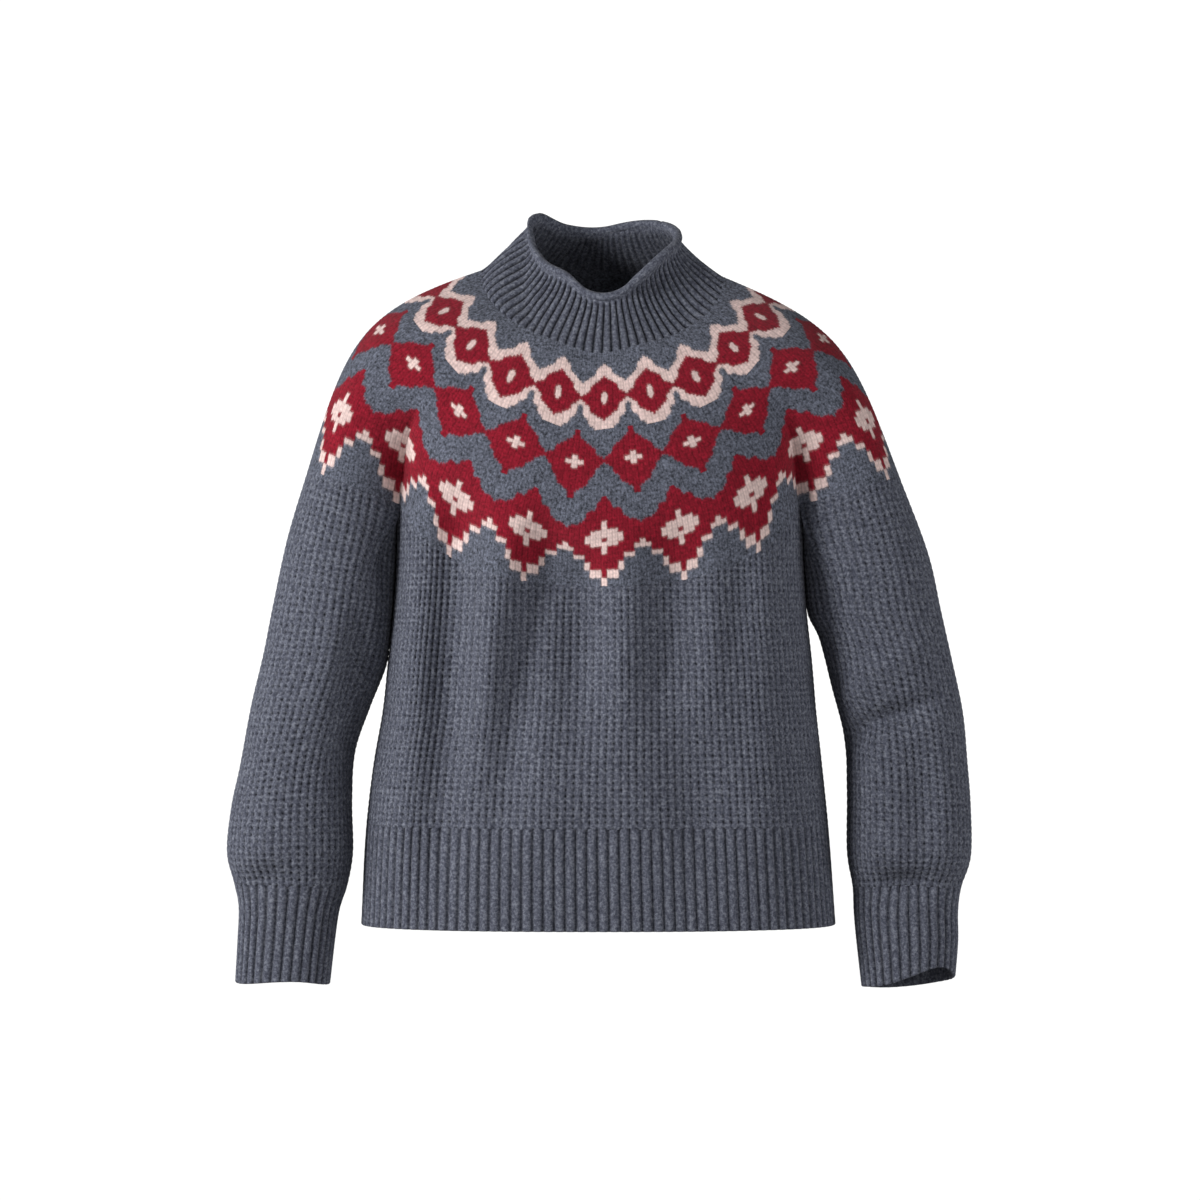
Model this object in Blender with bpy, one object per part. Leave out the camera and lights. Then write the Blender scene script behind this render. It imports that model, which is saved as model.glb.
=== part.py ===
"""A knitted pullover with a high rolled collar, a round patterned yoke and deep ribbed edges.

The garment is hollow and keeps the shape it has when it is worn: +X is the wearer's left, the
front faces -Y and +Z is up. The origin is the middle of the neck opening at shoulder height.
Lengths in the tables are millimetres. "drop" is the distance below the origin.
"""

import bpy
import numpy as np

MM = 0.001
WALL = 3.0
RIB_WALL = 3.6
SEAM_GAP = 0.3

# The circular yoke is knitted in pattern repeats. Repeat 0 is centre front, counted towards +X.
REPEATS = 18
FRONT_REPEATS = 2.75
SLEEVE_REPEATS = 3.5

# Body sections, one row each: drop, wearer's left and right edge, depth in front and behind.
BODY = np.array(
    [
        # drop, left_x, right_x, front, back
        (190, 189, -189, 113, 106),
        (256, 189, -189, 119, 107),
        (302, 192, -192, 119, 104),
        (349, 197, -197, 117, 100),
        (396, 201, -202, 115, 98),
        (442, 206, -210, 113, 98),
        (500, 212, -217, 110, 100),
        (594, 219, -222, 106, 104),
    ],
    dtype=float,
)
BODY_SQUARENESS = 2.4
ARMPIT_X = 184
ARMPIT_DROP = 204
FRONT_SEAM_DROP = 280
BACK_SEAM_DROP = 266
SEAM_CURVE = 2.5
HEM_RIB_DROP = 501
HEM_DROP = 594

# Sleeve and cuff sections, one row each: inner and outer edge as seen from the front, the
# half depth front to back, and the middle's y.
SLEEVE_COLUMNS = ("inner_x", "inner_drop", "outer_x", "outer_drop", "depth", "middle_y")
LEFT_SLEEVE = np.array(
    [
        # inner_x, inner_drop, outer_x, outer_drop, depth, middle_y
        (194, 206, 278, 177, 67, 4),
        (189, 256, 305, 249, 66, 2),
        (192, 302, 317, 303, 64, 0),
        (204, 330, 327, 348, 62, -2),
        (216, 377, 337, 397, 60, -4),
        (226, 416, 341, 442, 58, -6),
        (229, 470, 344, 484, 56, -8),
        (229, 526, 344, 530, 52, -10),
        (234, 558, 335, 559, 41, -12),
        (235, 581, 332, 581, 37, -13),
        (237, 605, 332, 609, 35, -14),
        (242, 650, 329, 645, 36, -15),
    ],
    dtype=float,
)
RIGHT_SLEEVE = np.array(
    [
        # inner_x, inner_drop, outer_x, outer_drop, depth, middle_y
        (193, 204, 271, 170, 67, 4),
        (189, 256, 290, 233, 66, 2),
        (191, 304, 303, 293, 64, 0),
        (197, 349, 313, 344, 62, -2),
        (213, 392, 324, 391, 60, -4),
        (227, 434, 334, 446, 58, -6),
        (230, 479, 342, 484, 56, -8),
        (229, 526, 346, 526, 52, -10),
        (234, 557, 339, 556, 41, -12),
        (241, 579, 335, 577, 37, -13),
        (245, 605, 336, 608, 35, -14),
        (250, 649, 338, 645, 36, -15),
    ],
    dtype=float,
)
SLEEVE_SQUARENESS = 2.2
CUFF_ROW = 8
ARMPIT_TURN = np.radians(132)
ARMPIT_FADE_ROWS = 1.6
ARMPIT_PULL_POWER = 4
BODY_CLEARANCE = 0.8
ARMPIT_LIFT, ARMPIT_LIFT_REPEATS = 2.6, 0.22

# Collar rings: the one on the shoulders, where the rib ends, and the one along the rolled top.
BASE_MIDDLE_X, BASE_HALF_WIDTH = 2, 113
BASE_MIDDLE_Y, BASE_HALF_DEPTH = -4, 78
BASE_DROP_FRONT, BASE_DROP_SIDE, BASE_DROP_BACK, BASE_LEAN = 62, -10, -20, 3
BASE_DIP, BASE_DIP_ANGLE, BASE_DIP_SPAN = 6.5, np.radians(-3), np.radians(14)
RIM_MIDDLE_X, RIM_HALF_WIDTH = 4, 70
RIM_MIDDLE_Y, RIM_HALF_DEPTH = -4, 58
RIM = np.array(
    [
        # degrees from centre front, drop; the rows beyond half a turn repeat those on the far side
        (-215, -56),
        (-180, -51),
        (-150, -52),
        (-115, -61.5),
        (-97, -54.5),
        (-83, -40),
        (-50, -10.5),
        (-28, 1.5),
        (-14, 15),
        (0, 19),
        (14, 14.5),
        (29, 1),
        (54, -20.5),
        (85, -37.5),
        (103, -47),
        (125, -54),
        (145, -56),
        (180, -51),
        (210, -52),
    ],
    dtype=float,
)
COLLAR_HOLLOW = 0.65
COLLAR_SWELLS = np.array(
    [
        # degrees at the base, degrees at the rim, half width in degrees, height
        (-62, -98, 24, 12),
        (75, 110, 20, 4),
    ],
    dtype=float,
)
ROLL_RADIUS = 4.4

# The yoke leaves the collar at this angle below level, and swells between its two edges.
SLOPE_FRONT, SLOPE_SIDE, SLOPE_BACK, SLOPE_LEAN = np.radians((62, 20, 42, 2))
SWELL_FRONT, SWELL_SIDE = 1.0, 1.5
BRIDGE_REPEATS, CREASE_TOP = 0.8, 0.42

# The largest soft folds of the body, one row each. A negative depth is a trough.
FOLDS = np.array(
    [
        # x, top_drop, bottom_drop, half_width, depth, faces_front
        (-152, 255, 480, 17, -5, 1),
        (-84, 320, 470, 20, -6, 1),
        (-37, 275, 370, 12, -4, 1),
        (44, 280, 410, 15, -5, 1),
        (71, 430, 500, 22, -4, 1),
        (121, 280, 350, 12, -3, 1),
        (-130, 270, 450, 18, 4, 1),
        (0, 285, 390, 20, 3, 1),
        (85, 285, 360, 16, 3, 1),
        (-105, 290, 470, 20, -5, 0),
        (-30, 340, 500, 18, -4, 0),
        (60, 280, 420, 18, -5, 0),
        (130, 330, 480, 16, -4, 0),
        (15, 290, 400, 20, 3, 0),
    ],
    dtype=float,
)

# Rough lengths that turn a seam's gap into a share of a surface's own parameter.
YOKE_LENGTH, COLLAR_LENGTH, SLEEVE_ROW_LENGTH = 200, 45, 22

# Faces around and along each piece.
REPEAT_COLUMNS, UNDERARM_COLUMNS = 4, 2
YOKE_ROWS, PANEL_ROWS, RIB_ROWS, SLEEVE_ROWS, CUFF_ROWS = 9, 9, 3, 12, 4
COLLAR_COLUMNS, COLLAR_ROWS, ROLL_POINTS = 36, 4, 7
SHARP_ANGLE = np.radians(50)

# How far apart two points are taken, in a surface's own parameters, to find its way or normal.
WAY_STEP, NORMAL_STEP = 0.02, 0.001

SLATE = (0.083, 0.092, 0.124, 1)
RED = (0.255, 0.012, 0.026, 1)


def along(knots, values, at):
    """A smooth curve through a table's rows: cubic pieces whose slopes are central differences."""
    slopes = np.gradient(values, knots)
    first = np.clip(np.searchsorted(knots, at) - 1, 0, len(knots) - 2)
    step = knots[first + 1] - knots[first]
    s = (at - knots[first]) / step
    return (
        (2 * s**3 - 3 * s**2 + 1) * values[first]
        + (s**3 - 2 * s**2 + s) * step * slopes[first]
        + (3 * s**2 - 2 * s**3) * values[first + 1]
        + (s**3 - s**2) * step * slopes[first + 1]
    )


def signed_power(value, power):
    return np.sign(value) * np.abs(value) ** power


def bell(distance, width):
    """1 in the middle, about a third at the width, and next to nothing at twice the width."""
    return np.exp(-((distance / width) ** 2))


def wrapped(angle):
    """The same angle, counted from -180 up to 180 degrees."""
    return (angle + np.pi) % (2 * np.pi) - np.pi


def body_sizes(drop):
    """Middle x, half width, front depth and back depth of the body at each drop."""
    left, right, front, back = (along(BODY[:, 0], BODY[:, k], drop) for k in (1, 2, 3, 4))
    return (left + right) / 2, (left - right) / 2, front, back


def folds(x, drop, front):
    """How far the cloth stands out: each fold is a bell across x, faded in and out along drop."""
    height = np.zeros(np.broadcast(x, drop).shape)
    for fold_x, top, bottom, half_width, depth, on_front in FOLDS:
        share = np.clip((drop - top) / (bottom - top), 0, 1)
        faded = bell(x - fold_x, half_width) * np.sin(np.pi * share)
        height += depth * faded * (front == (on_front > 0.5))
    return height


def body_point(angle, drop):
    """Squarish oval at this drop: angle 0 is centre front, 90 degrees the wearer's left side."""
    middle, half, front, back = body_sizes(drop)
    in_front = np.cos(angle) > 0
    x = middle + half * signed_power(np.sin(angle), 2 / BODY_SQUARENESS)
    depth = np.where(in_front, front, back) + folds(x, drop, in_front)
    y = -depth * signed_power(np.cos(angle), 2 / BODY_SQUARENESS)
    return np.stack([x, y, -drop], axis=-1)


def body_reach(y, drop):
    """Half width of the body at a given y: where a level line from the middle leaves it."""
    middle, half, front, back = body_sizes(drop)
    share = np.clip(np.abs(y) / np.where(y < 0, front, back), 0, 1)
    return middle, half * (1 - share**BODY_SQUARENESS) ** (1 / BODY_SQUARENESS)


def armpit_angle():
    """The angle at which the body oval, at armpit height, is ARMPIT_X from the middle."""
    half = body_sizes(np.array([float(ARMPIT_DROP)]))[1][0]
    return np.arcsin((ARMPIT_X / half) ** (BODY_SQUARENESS / 2))


def quarter_round(samples=800):
    """Angles from centre front to the side, and the share of the way to the armpit at each."""
    angles = np.linspace(0, np.pi / 2, samples)
    points = body_point(angles, np.full(samples, float(ARMPIT_DROP)))
    length = np.concatenate([[0], np.cumsum(np.linalg.norm(np.diff(points, axis=0), axis=1))])
    return angles, length / np.interp(armpit_angle(), angles, length)


def body_angle(share):
    """Angle of a point that lies this share of the way, by length, from centre to the armpit."""
    angles, shares = quarter_round()
    return np.sign(share) * np.interp(np.abs(share), shares, angles)


def body_top(angle, front):
    """Drop of the body's upper edge: deepest in the middle, level under the arm."""
    angles, shares = quarter_round()
    share = np.interp(np.abs(angle), angles, shares)
    centre_drop = FRONT_SEAM_DROP if front else BACK_SEAM_DROP
    return centre_drop + (ARMPIT_DROP - centre_drop) * np.minimum(share, 1) ** SEAM_CURVE


def underarm(side, share):
    """The short seam between body and sleeve: share -1 at the front armpit, +1 at the back."""
    angle = side * (np.pi / 2 + share * (np.pi / 2 - armpit_angle()))
    points = body_point(angle, np.full(np.shape(angle), float(ARMPIT_DROP)))
    points[..., 0] += side * SEAM_GAP
    return points


def eased(share):
    """From 0 to 1 with no slope at either end."""
    share = np.clip(share, 0, 1)
    return share * share * (3 - 2 * share)


def sleeve_oval(side, turn, row):
    """Plain sleeve section: turn 0 is the outer edge, 180 degrees the inner, + towards the back."""
    table = LEFT_SLEEVE if side > 0 else RIGHT_SLEEVE
    rows = np.arange(len(table), dtype=float)
    inner_x, inner_drop, outer_x, outer_drop, depth, middle_y = (
        along(rows, table[:, k], row) for k in range(len(SLEEVE_COLUMNS))
    )
    across = signed_power(np.cos(turn), 2 / SLEEVE_SQUARENESS)
    deep = signed_power(np.sin(turn), 2 / SLEEVE_SQUARENESS)
    x = (inner_x + outer_x) / 2 + (outer_x - inner_x) / 2 * across
    drop = (inner_drop + outer_drop) / 2 + (outer_drop - inner_drop) / 2 * across
    return np.stack([side * x, middle_y + depth * deep, -drop], axis=-1)


def sleeve_top(side, turn):
    """The sleeve's upper edge: its own oval, drawn in at both ends to the armpit's points."""
    turn = np.asarray(turn, dtype=float)
    row = np.zeros_like(turn)
    ends = np.sign(turn) * ARMPIT_TURN
    pull = (np.minimum(np.abs(turn) / ARMPIT_TURN, 1) ** ARMPIT_PULL_POWER)[..., None]
    armpit = underarm(side, np.sign(turn))
    over = sleeve_oval(side, turn, row) + (armpit - sleeve_oval(side, ends, row)) * pull
    under = underarm(side, np.sign(turn) * (np.pi - np.abs(turn)) / (np.pi - ARMPIT_TURN))
    return np.where((np.abs(turn) <= ARMPIT_TURN)[..., None], over, under)


def sleeve_point(side, turn, row):
    """The sleeve: its oval sections, eased from its upper edge and kept clear of the body."""
    ease = (1 - eased(row / ARMPIT_FADE_ROWS))[..., None]
    from_edge = sleeve_top(side, turn) - sleeve_oval(side, turn, np.zeros_like(row))
    points = sleeve_oval(side, turn, row) + from_edge * ease
    middle, reach = body_reach(points[..., 1], np.clip(-points[..., 2], BODY[0, 0], HEM_DROP))
    gap = SEAM_GAP + (BODY_CLEARANCE - SEAM_GAP) * np.minimum(row, 1)
    nearest = side * middle + reach + gap
    points[..., 0] = side * np.maximum(side * points[..., 0], nearest)
    return points


def collar_ring(angle, middle_x, half_width, middle_y, half_depth, drop):
    return np.stack(
        [middle_x + half_width * np.sin(angle), middle_y - half_depth * np.cos(angle), -drop],
        axis=-1,
    )


def collar_base(angle):
    """The ring where the rib meets the yoke: low in front, high at the sides and behind."""
    forward, backward = np.maximum(np.cos(angle), 0), np.maximum(-np.cos(angle), 0)
    drop = (
        BASE_DROP_SIDE
        + (BASE_DROP_FRONT - BASE_DROP_SIDE) * forward
        + (BASE_DROP_BACK - BASE_DROP_SIDE) * backward
        + BASE_LEAN * np.sin(angle)
        + BASE_DIP * bell(wrapped(angle) - BASE_DIP_ANGLE, BASE_DIP_SPAN)
    )
    return collar_ring(
        angle, BASE_MIDDLE_X, BASE_HALF_WIDTH, BASE_MIDDLE_Y, BASE_HALF_DEPTH, drop
    )


def collar_rim(angle):
    """The ring under the rolled edge, at the heights of its table."""
    drop = along(RIM[:, 0], RIM[:, 1], np.degrees(wrapped(angle)))
    return collar_ring(angle, RIM_MIDDLE_X, RIM_HALF_WIDTH, RIM_MIDDLE_Y, RIM_HALF_DEPTH, drop)


def hermite(start, start_way, end, end_way, share):
    """The cubic that leaves start along start_way and reaches end along end_way."""
    s = share[..., None]
    return (
        (2 * s**3 - 3 * s**2 + 1) * start
        + (s**3 - 2 * s**2 + s) * start_way
        + (3 * s**2 - 2 * s**3) * end
        + (s**3 - s**2) * end_way
    )


def neck_way(angle):
    """Unit direction in which cloth leaves the collar's base: outwards and down."""
    forward, backward = np.maximum(np.cos(angle), 0), np.maximum(-np.cos(angle), 0)
    slope = (
        SLOPE_SIDE
        + (SLOPE_FRONT - SLOPE_SIDE) * forward**2
        + (SLOPE_BACK - SLOPE_SIDE) * backward**2
        + SLOPE_LEAN * np.sin(angle)
    )
    level = np.stack([BASE_HALF_DEPTH * np.sin(angle), -BASE_HALF_WIDTH * np.cos(angle)], -1)
    level /= np.linalg.norm(level, axis=-1, keepdims=True)
    return np.concatenate([level * np.cos(slope)[..., None], -np.sin(slope)[..., None]], -1)


def yoke_edge(repeat):
    """The yoke's outer ring, and the way the cloth below leaves each of its points."""
    distance = np.abs(repeat)
    side = np.where(repeat >= 0, 1.0, -1.0)
    points, way = np.empty(repeat.shape + (3,)), np.empty(repeat.shape + (3,))
    on_front = distance <= FRONT_REPEATS
    on_back = distance >= FRONT_REPEATS + SLEEVE_REPEATS
    for where, front in ((on_front, True), (on_back, False)):
        from_centre = distance[where] if front else REPEATS / 2 - distance[where]
        angle = body_angle(from_centre / FRONT_REPEATS)
        drop = body_top(angle, front)
        angle = side[where] * (angle if front else np.pi - angle)
        points[where] = body_point(angle, drop)
        way[where] = body_point(angle, drop + WAY_STEP) - points[where]
    for sign in (1, -1):
        where = ~on_front & ~on_back & (side == sign)
        turn = ((distance[where] - FRONT_REPEATS) / SLEEVE_REPEATS * 2 - 1) * ARMPIT_TURN
        row = np.zeros_like(turn)
        points[where] = sleeve_point(sign, turn, row)
        way[where] = sleeve_point(sign, turn, row + WAY_STEP) - points[where]
    return points, way / np.linalg.norm(way, axis=-1, keepdims=True)


def chest_bridge(repeat):
    """The yoke's outer ring without its armpit creases: a cubic spans each from chest to sleeve,

    and the way the cloth leaves it turns evenly from the one to the other.
    """
    points, way = yoke_edge(repeat)
    distance, side = np.abs(repeat), np.where(repeat >= 0, 1.0, -1.0)
    bridge = points.copy()
    for armpit in (FRONT_REPEATS, FRONT_REPEATS + SLEEVE_REPEATS):
        near = np.abs(distance - armpit) < BRIDGE_REPEATS
        start, end = armpit - BRIDGE_REPEATS, armpit + BRIDGE_REPEATS
        places = (start, start - WAY_STEP, end, end + WAY_STEP)
        ends, ways = zip(*(yoke_edge(side[near] * at) for at in places))
        start_way = (ends[0] - ends[1]) / WAY_STEP * (end - start)
        end_way = (ends[3] - ends[2]) / WAY_STEP * (end - start)
        share = (distance[near] - start) / (end - start)
        bridge[near] = hermite(ends[0], start_way, ends[2], end_way, share)
        turned = ways[0] + (ways[2] - ways[0]) * eased(share)[..., None]
        way[near] = turned / np.linalg.norm(turned, axis=-1, keepdims=True)
    return points, bridge, way


def yoke_point(repeat, share):
    """The yoke: share 0 at the collar, 1 at the seam, with a crease that deepens to each armpit."""
    angle = repeat * 2 * np.pi / REPEATS
    repeat = (repeat + REPEATS / 2) % REPEATS - REPEATS / 2
    inner = collar_base(angle)
    outer, bridge, end_way = chest_bridge(repeat)
    reach = np.linalg.norm(bridge - inner, axis=-1)
    swell = SWELL_FRONT + (SWELL_SIDE - SWELL_FRONT) * np.sin(angle) ** 2
    reach = (reach * swell)[..., None]
    points = hermite(inner, neck_way(angle) * reach, bridge, end_way * reach, share)
    return points + (outer - bridge) * eased((share - CREASE_TOP) / (1 - CREASE_TOP))[..., None]


def collar_point(angle, share):
    """The funnel of the collar: share 0 on the shoulders, 1 under the roll."""
    base, rim = collar_base(angle), collar_rim(angle)
    reach = COLLAR_HOLLOW * np.linalg.norm(rim - base, axis=-1)[..., None]
    up = np.zeros(base.shape)
    up[..., 2] = 1
    points = hermite(base, -neck_way(angle) * reach, rim, up * reach, share)
    height = np.zeros(np.broadcast(angle, share).shape)
    within = np.clip(share, 0, 1)
    for at_base, at_rim, half_width, swell in COLLAR_SWELLS:
        middle = np.radians(at_base + (at_rim - at_base) * within)
        height += swell * bell(wrapped(angle - middle), np.radians(half_width))
    outward = np.stack([np.sin(angle), -np.cos(angle), 0 * angle], axis=-1)
    return points + outward * (height * np.sin(np.pi * within))[..., None]


def spread(first, last, count, closed=False):
    """Evenly spaced parameters; a closed round doesn't repeat its first one."""
    return np.linspace(first, last, count + 1)[: count if closed else count + 1]


def outwards(surface, column, row, side):
    """Unit normals of a surface, from central differences of its two parameters."""
    across = surface(column + NORMAL_STEP, row) - surface(column - NORMAL_STEP, row)
    down = surface(column, row + NORMAL_STEP) - surface(column, row - NORMAL_STEP)
    normal = side * np.cross(down, across)
    return normal / np.linalg.norm(normal, axis=-1, keepdims=True)


def carried_section(section, closed):
    """Quads of a closed section, its points in rows, carried along the columns; ends are capped."""
    tall, wide = section.shape[:2]
    row, column = np.meshgrid(
        np.arange(tall), np.arange(wide if closed else wide - 1), indexing="ij"
    )
    next_row, next_column = (row + 1) % tall, (column + 1) % wide
    corners = (
        row * wide + column,
        next_row * wide + column,
        next_row * wide + next_column,
        row * wide + next_column,
    )
    faces = [np.stack([c.ravel() for c in corners], axis=1)]
    if not closed:
        row = np.arange(tall // 2 - 1)
        opposite = tall - 1 - row
        first = np.stack([row, opposite, opposite - 1, row + 1], axis=1) * wide
        faces += [first, first[:, ::-1] + wide - 1]
    return np.concatenate(faces)


def material(name, colour, roughness):
    finish = bpy.data.materials.new(name)
    finish.use_nodes = True
    shader = finish.node_tree.nodes["Principled BSDF"]
    shader.inputs["Base Color"].default_value = colour
    shader.inputs["Roughness"].default_value = roughness
    shader.inputs["Metallic"].default_value = 0
    finish.diffuse_color = colour
    return finish


def piece(name, section, closed, turned, finish, collection):
    """One named object, lofted from its closed section; turned says that its faces are reversed."""
    faces = carried_section(section, closed)
    if turned:
        faces = faces[:, ::-1]
    mesh = bpy.data.meshes.new(name)
    mesh.from_pydata((section.reshape(-1, 3) * MM).tolist(), [], faces.tolist())
    mesh.update()
    mesh.shade_smooth()
    mesh.set_sharp_from_angle(angle=SHARP_ANGLE)
    mesh.materials.append(finish)
    result = bpy.data.objects.new(name, mesh)
    collection.objects.link(result)
    return result


def cloth(name, surface, columns, rows, closed, side, wall, finish, collection):
    """A wall of cloth: the surface is its outer face, and the inner one lies a wall's depth in.

    side is 1 where the columns run to the viewer's right as seen from outside, and -1 elsewhere.
    """
    column, row = np.meshgrid(columns, rows)
    outer = surface(column, row)
    inner = outer - outwards(surface, column, row, side) * wall
    section = np.concatenate([outer, inner[::-1]])
    return piece(name, section, closed, side < 0, finish, collection)


def make_yoke(finish, collection):
    """The ring between collar, body and sleeves, lifted a little where all three meet."""
    trim = SEAM_GAP / 2 / YOKE_LENGTH

    def yoke(repeat, share):
        distance = REPEATS / 2 - np.abs(repeat - REPEATS / 2)
        from_armpit = np.abs(np.abs(distance - REPEATS / 4) - SLEEVE_REPEATS / 2)
        lift = ARMPIT_LIFT / YOKE_LENGTH * bell(from_armpit, ARMPIT_LIFT_REPEATS)
        return yoke_point(repeat, share * (1 - lift))

    columns = spread(0, REPEATS, REPEATS * REPEAT_COLUMNS, closed=True)
    rows = spread(trim, 1 - trim, YOKE_ROWS)
    cloth("yoke", yoke, columns, rows, True, 1, WALL, finish, collection)


def make_collar(finish, collection):
    """A closed section carried round the neck: outer face up, round the roll, inner face down."""
    angle, share = np.meshgrid(
        spread(0, 2 * np.pi, COLLAR_COLUMNS, closed=True),
        spread(SEAM_GAP / 2 / COLLAR_LENGTH, 1, COLLAR_ROWS),
    )
    outer = collar_point(angle, share)
    normal = outwards(collar_point, angle, share, -1)
    inner = outer - normal * RIB_WALL
    level = normal[-1] * (1, 1, 0)
    level /= np.linalg.norm(level, axis=-1, keepdims=True)
    up = np.array([0, 0, 1.0])
    half_opening = np.arcsin(RIB_WALL / 2 / ROLL_RADIUS)
    centre = (outer[-1] + inner[-1]) / 2 + up * ROLL_RADIUS * np.cos(half_opening)
    turns = spread(half_opening, 2 * np.pi - half_opening, ROLL_POINTS + 1)[1:-1]
    roll = [centre + ROLL_RADIUS * (level * np.sin(turn) - up * np.cos(turn)) for turn in turns]
    section = np.concatenate([outer, np.stack(roll), inner[::-1]])
    piece("collar", section, True, True, finish, collection)


def panel_angles():
    """Columns of a body panel: those of the yoke's edge, then a few more under each arm."""
    count = int(FRONT_REPEATS * REPEAT_COLUMNS)
    half = body_angle(spread(0, 1, count))
    side_angle = np.arccos((SEAM_GAP / 2 / BODY[0, 3]) ** (BODY_SQUARENESS / 2))
    half = np.concatenate([half, spread(armpit_angle(), side_angle, UNDERARM_COLUMNS)[1:]])
    return np.concatenate([-half[:0:-1], half])


def make_panel(name, front, finish, rib_finish, collection):
    """One half of the body, and the rib knitted onto its lower edge."""

    def around(angle):
        return angle if front else np.pi - angle

    def panel(angle, down):
        top = body_top(angle, front) + SEAM_GAP / 2
        drop = top + (HEM_RIB_DROP - SEAM_GAP / 2 - top) * down
        return body_point(around(angle), drop)

    def rib(angle, drop):
        return body_point(around(angle), drop)

    side = 1 if front else -1
    columns = panel_angles()
    cloth(name, panel, columns, spread(0, 1, PANEL_ROWS), False, side, WALL, finish, collection)
    rows = spread(HEM_RIB_DROP + SEAM_GAP / 2, HEM_DROP, RIB_ROWS)
    cloth("hem_rib_" + name, rib, columns, rows, False, side, RIB_WALL, rib_finish, collection)


def sleeve_turns():
    """Columns of a sleeve: those of the yoke's edge, then those of the body under the arm."""
    over = spread(-ARMPIT_TURN, ARMPIT_TURN, int(SLEEVE_REPEATS * REPEAT_COLUMNS))
    under = spread(ARMPIT_TURN, 2 * np.pi - ARMPIT_TURN, 2 * UNDERARM_COLUMNS)[1:-1]
    return np.concatenate([over, np.where(under > np.pi, under - 2 * np.pi, under)])


def make_sleeve(name, side, finish, rib_finish, collection):
    """One sleeve, closed all round, and its cuff."""
    trim = SEAM_GAP / 2 / SLEEVE_ROW_LENGTH
    last = len(LEFT_SLEEVE) - 1
    columns = sleeve_turns()
    rows = spread(trim, CUFF_ROW - trim, SLEEVE_ROWS)
    cuff_rows = spread(CUFF_ROW + trim, last, CUFF_ROWS)

    def sleeve(turn, row):
        return sleeve_point(side, turn, row)

    cloth("sleeve_" + name, sleeve, columns, rows, True, side, WALL, finish, collection)
    cloth("cuff_" + name, sleeve, columns, cuff_rows, True, side, RIB_WALL, rib_finish, collection)


def main():
    for old in list(bpy.data.objects):
        bpy.data.objects.remove(old)
    collection = bpy.data.collections.new("pullover")
    bpy.context.scene.collection.children.link(collection)
    plain = material("slate_knit", SLATE, 0.9)
    rib = material("slate_rib", SLATE, 0.92)
    patterned = material("patterned_knit", RED, 0.9)
    make_yoke(patterned, collection)
    make_collar(rib, collection)
    make_panel("front", True, plain, rib, collection)
    make_panel("back", False, plain, rib, collection)
    make_sleeve("left", 1, plain, rib, collection)
    make_sleeve("right", -1, plain, rib, collection)


main()
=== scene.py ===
# %% [markdown]
# # A knitted pullover, from its solids to its stitches
#
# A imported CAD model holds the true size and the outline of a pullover: a rolled collar, a
# patterned round yoke, a waffle-knit body and sleeves, and ribbed hem and cuffs. This lesson
# knits each of those ten pieces again as real relief on the same surfaces, so that the light
# finds ridges, pits and ribs to fall on. Every length is in millimetres until a mesh is made.

import bpy
import numpy as np
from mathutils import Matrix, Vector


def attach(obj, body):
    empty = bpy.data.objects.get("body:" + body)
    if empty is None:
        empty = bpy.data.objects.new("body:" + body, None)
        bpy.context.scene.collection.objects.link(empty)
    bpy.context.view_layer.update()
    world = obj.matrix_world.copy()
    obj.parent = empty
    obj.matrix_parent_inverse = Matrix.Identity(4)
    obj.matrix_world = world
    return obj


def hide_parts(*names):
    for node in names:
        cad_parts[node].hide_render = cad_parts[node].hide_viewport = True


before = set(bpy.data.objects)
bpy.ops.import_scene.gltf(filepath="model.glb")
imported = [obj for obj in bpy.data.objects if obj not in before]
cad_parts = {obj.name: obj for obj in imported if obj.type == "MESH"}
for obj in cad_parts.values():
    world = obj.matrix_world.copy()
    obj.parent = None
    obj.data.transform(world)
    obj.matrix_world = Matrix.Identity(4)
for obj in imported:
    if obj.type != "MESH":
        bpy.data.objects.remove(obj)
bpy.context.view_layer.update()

# %% [markdown]
# ## The camera first
#
# A product photo of this kind is taken level, from about four metres, so that the garment keeps
# its shape. The camera stands at the height of the picture's middle and looks straight at the
# front. The lens follows from the distance and from the width of cloth that fills the frame.

# %% Camera
FRAME_WIDTH, CAMERA_DISTANCE, CAMERA_HEIGHT, SENSOR = 1.116, 4.0, -0.293, 36.0


def add_camera():
    """A level camera whose lens is as long as sensor width x distance / width of the frame."""
    lens = bpy.data.cameras.new("camera")
    lens.sensor_width = SENSOR
    lens.lens = SENSOR * CAMERA_DISTANCE / FRAME_WIDTH
    camera = bpy.data.objects.new("camera", lens)
    camera.location = (0, -CAMERA_DISTANCE, CAMERA_HEIGHT)
    camera.rotation_euler = (np.pi / 2, 0, 0)
    bpy.context.collection.objects.link(camera)
    bpy.context.scene.camera = camera
    return lens.lens


print("lens", round(add_camera(), 1), "mm")

# %% [markdown]
# ## The body's shape
#
# The body is a squarish oval whose width and depth change on the way down. The same table made
# the CAD solids, and the visual cloth has to lie on them, so it is repeated here row by row.
# A smooth curve through the rows gives the sizes at any height. Folds are added as soft bells
# across the cloth, because knit this thick never creases sharply. They hang from the yoke, start
# softly there and fade on the way down.

# %% Body table
MM = 0.001
WALL, RIB_WALL, SEAM_LAP = 3.4, 3.8, 0.5
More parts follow.
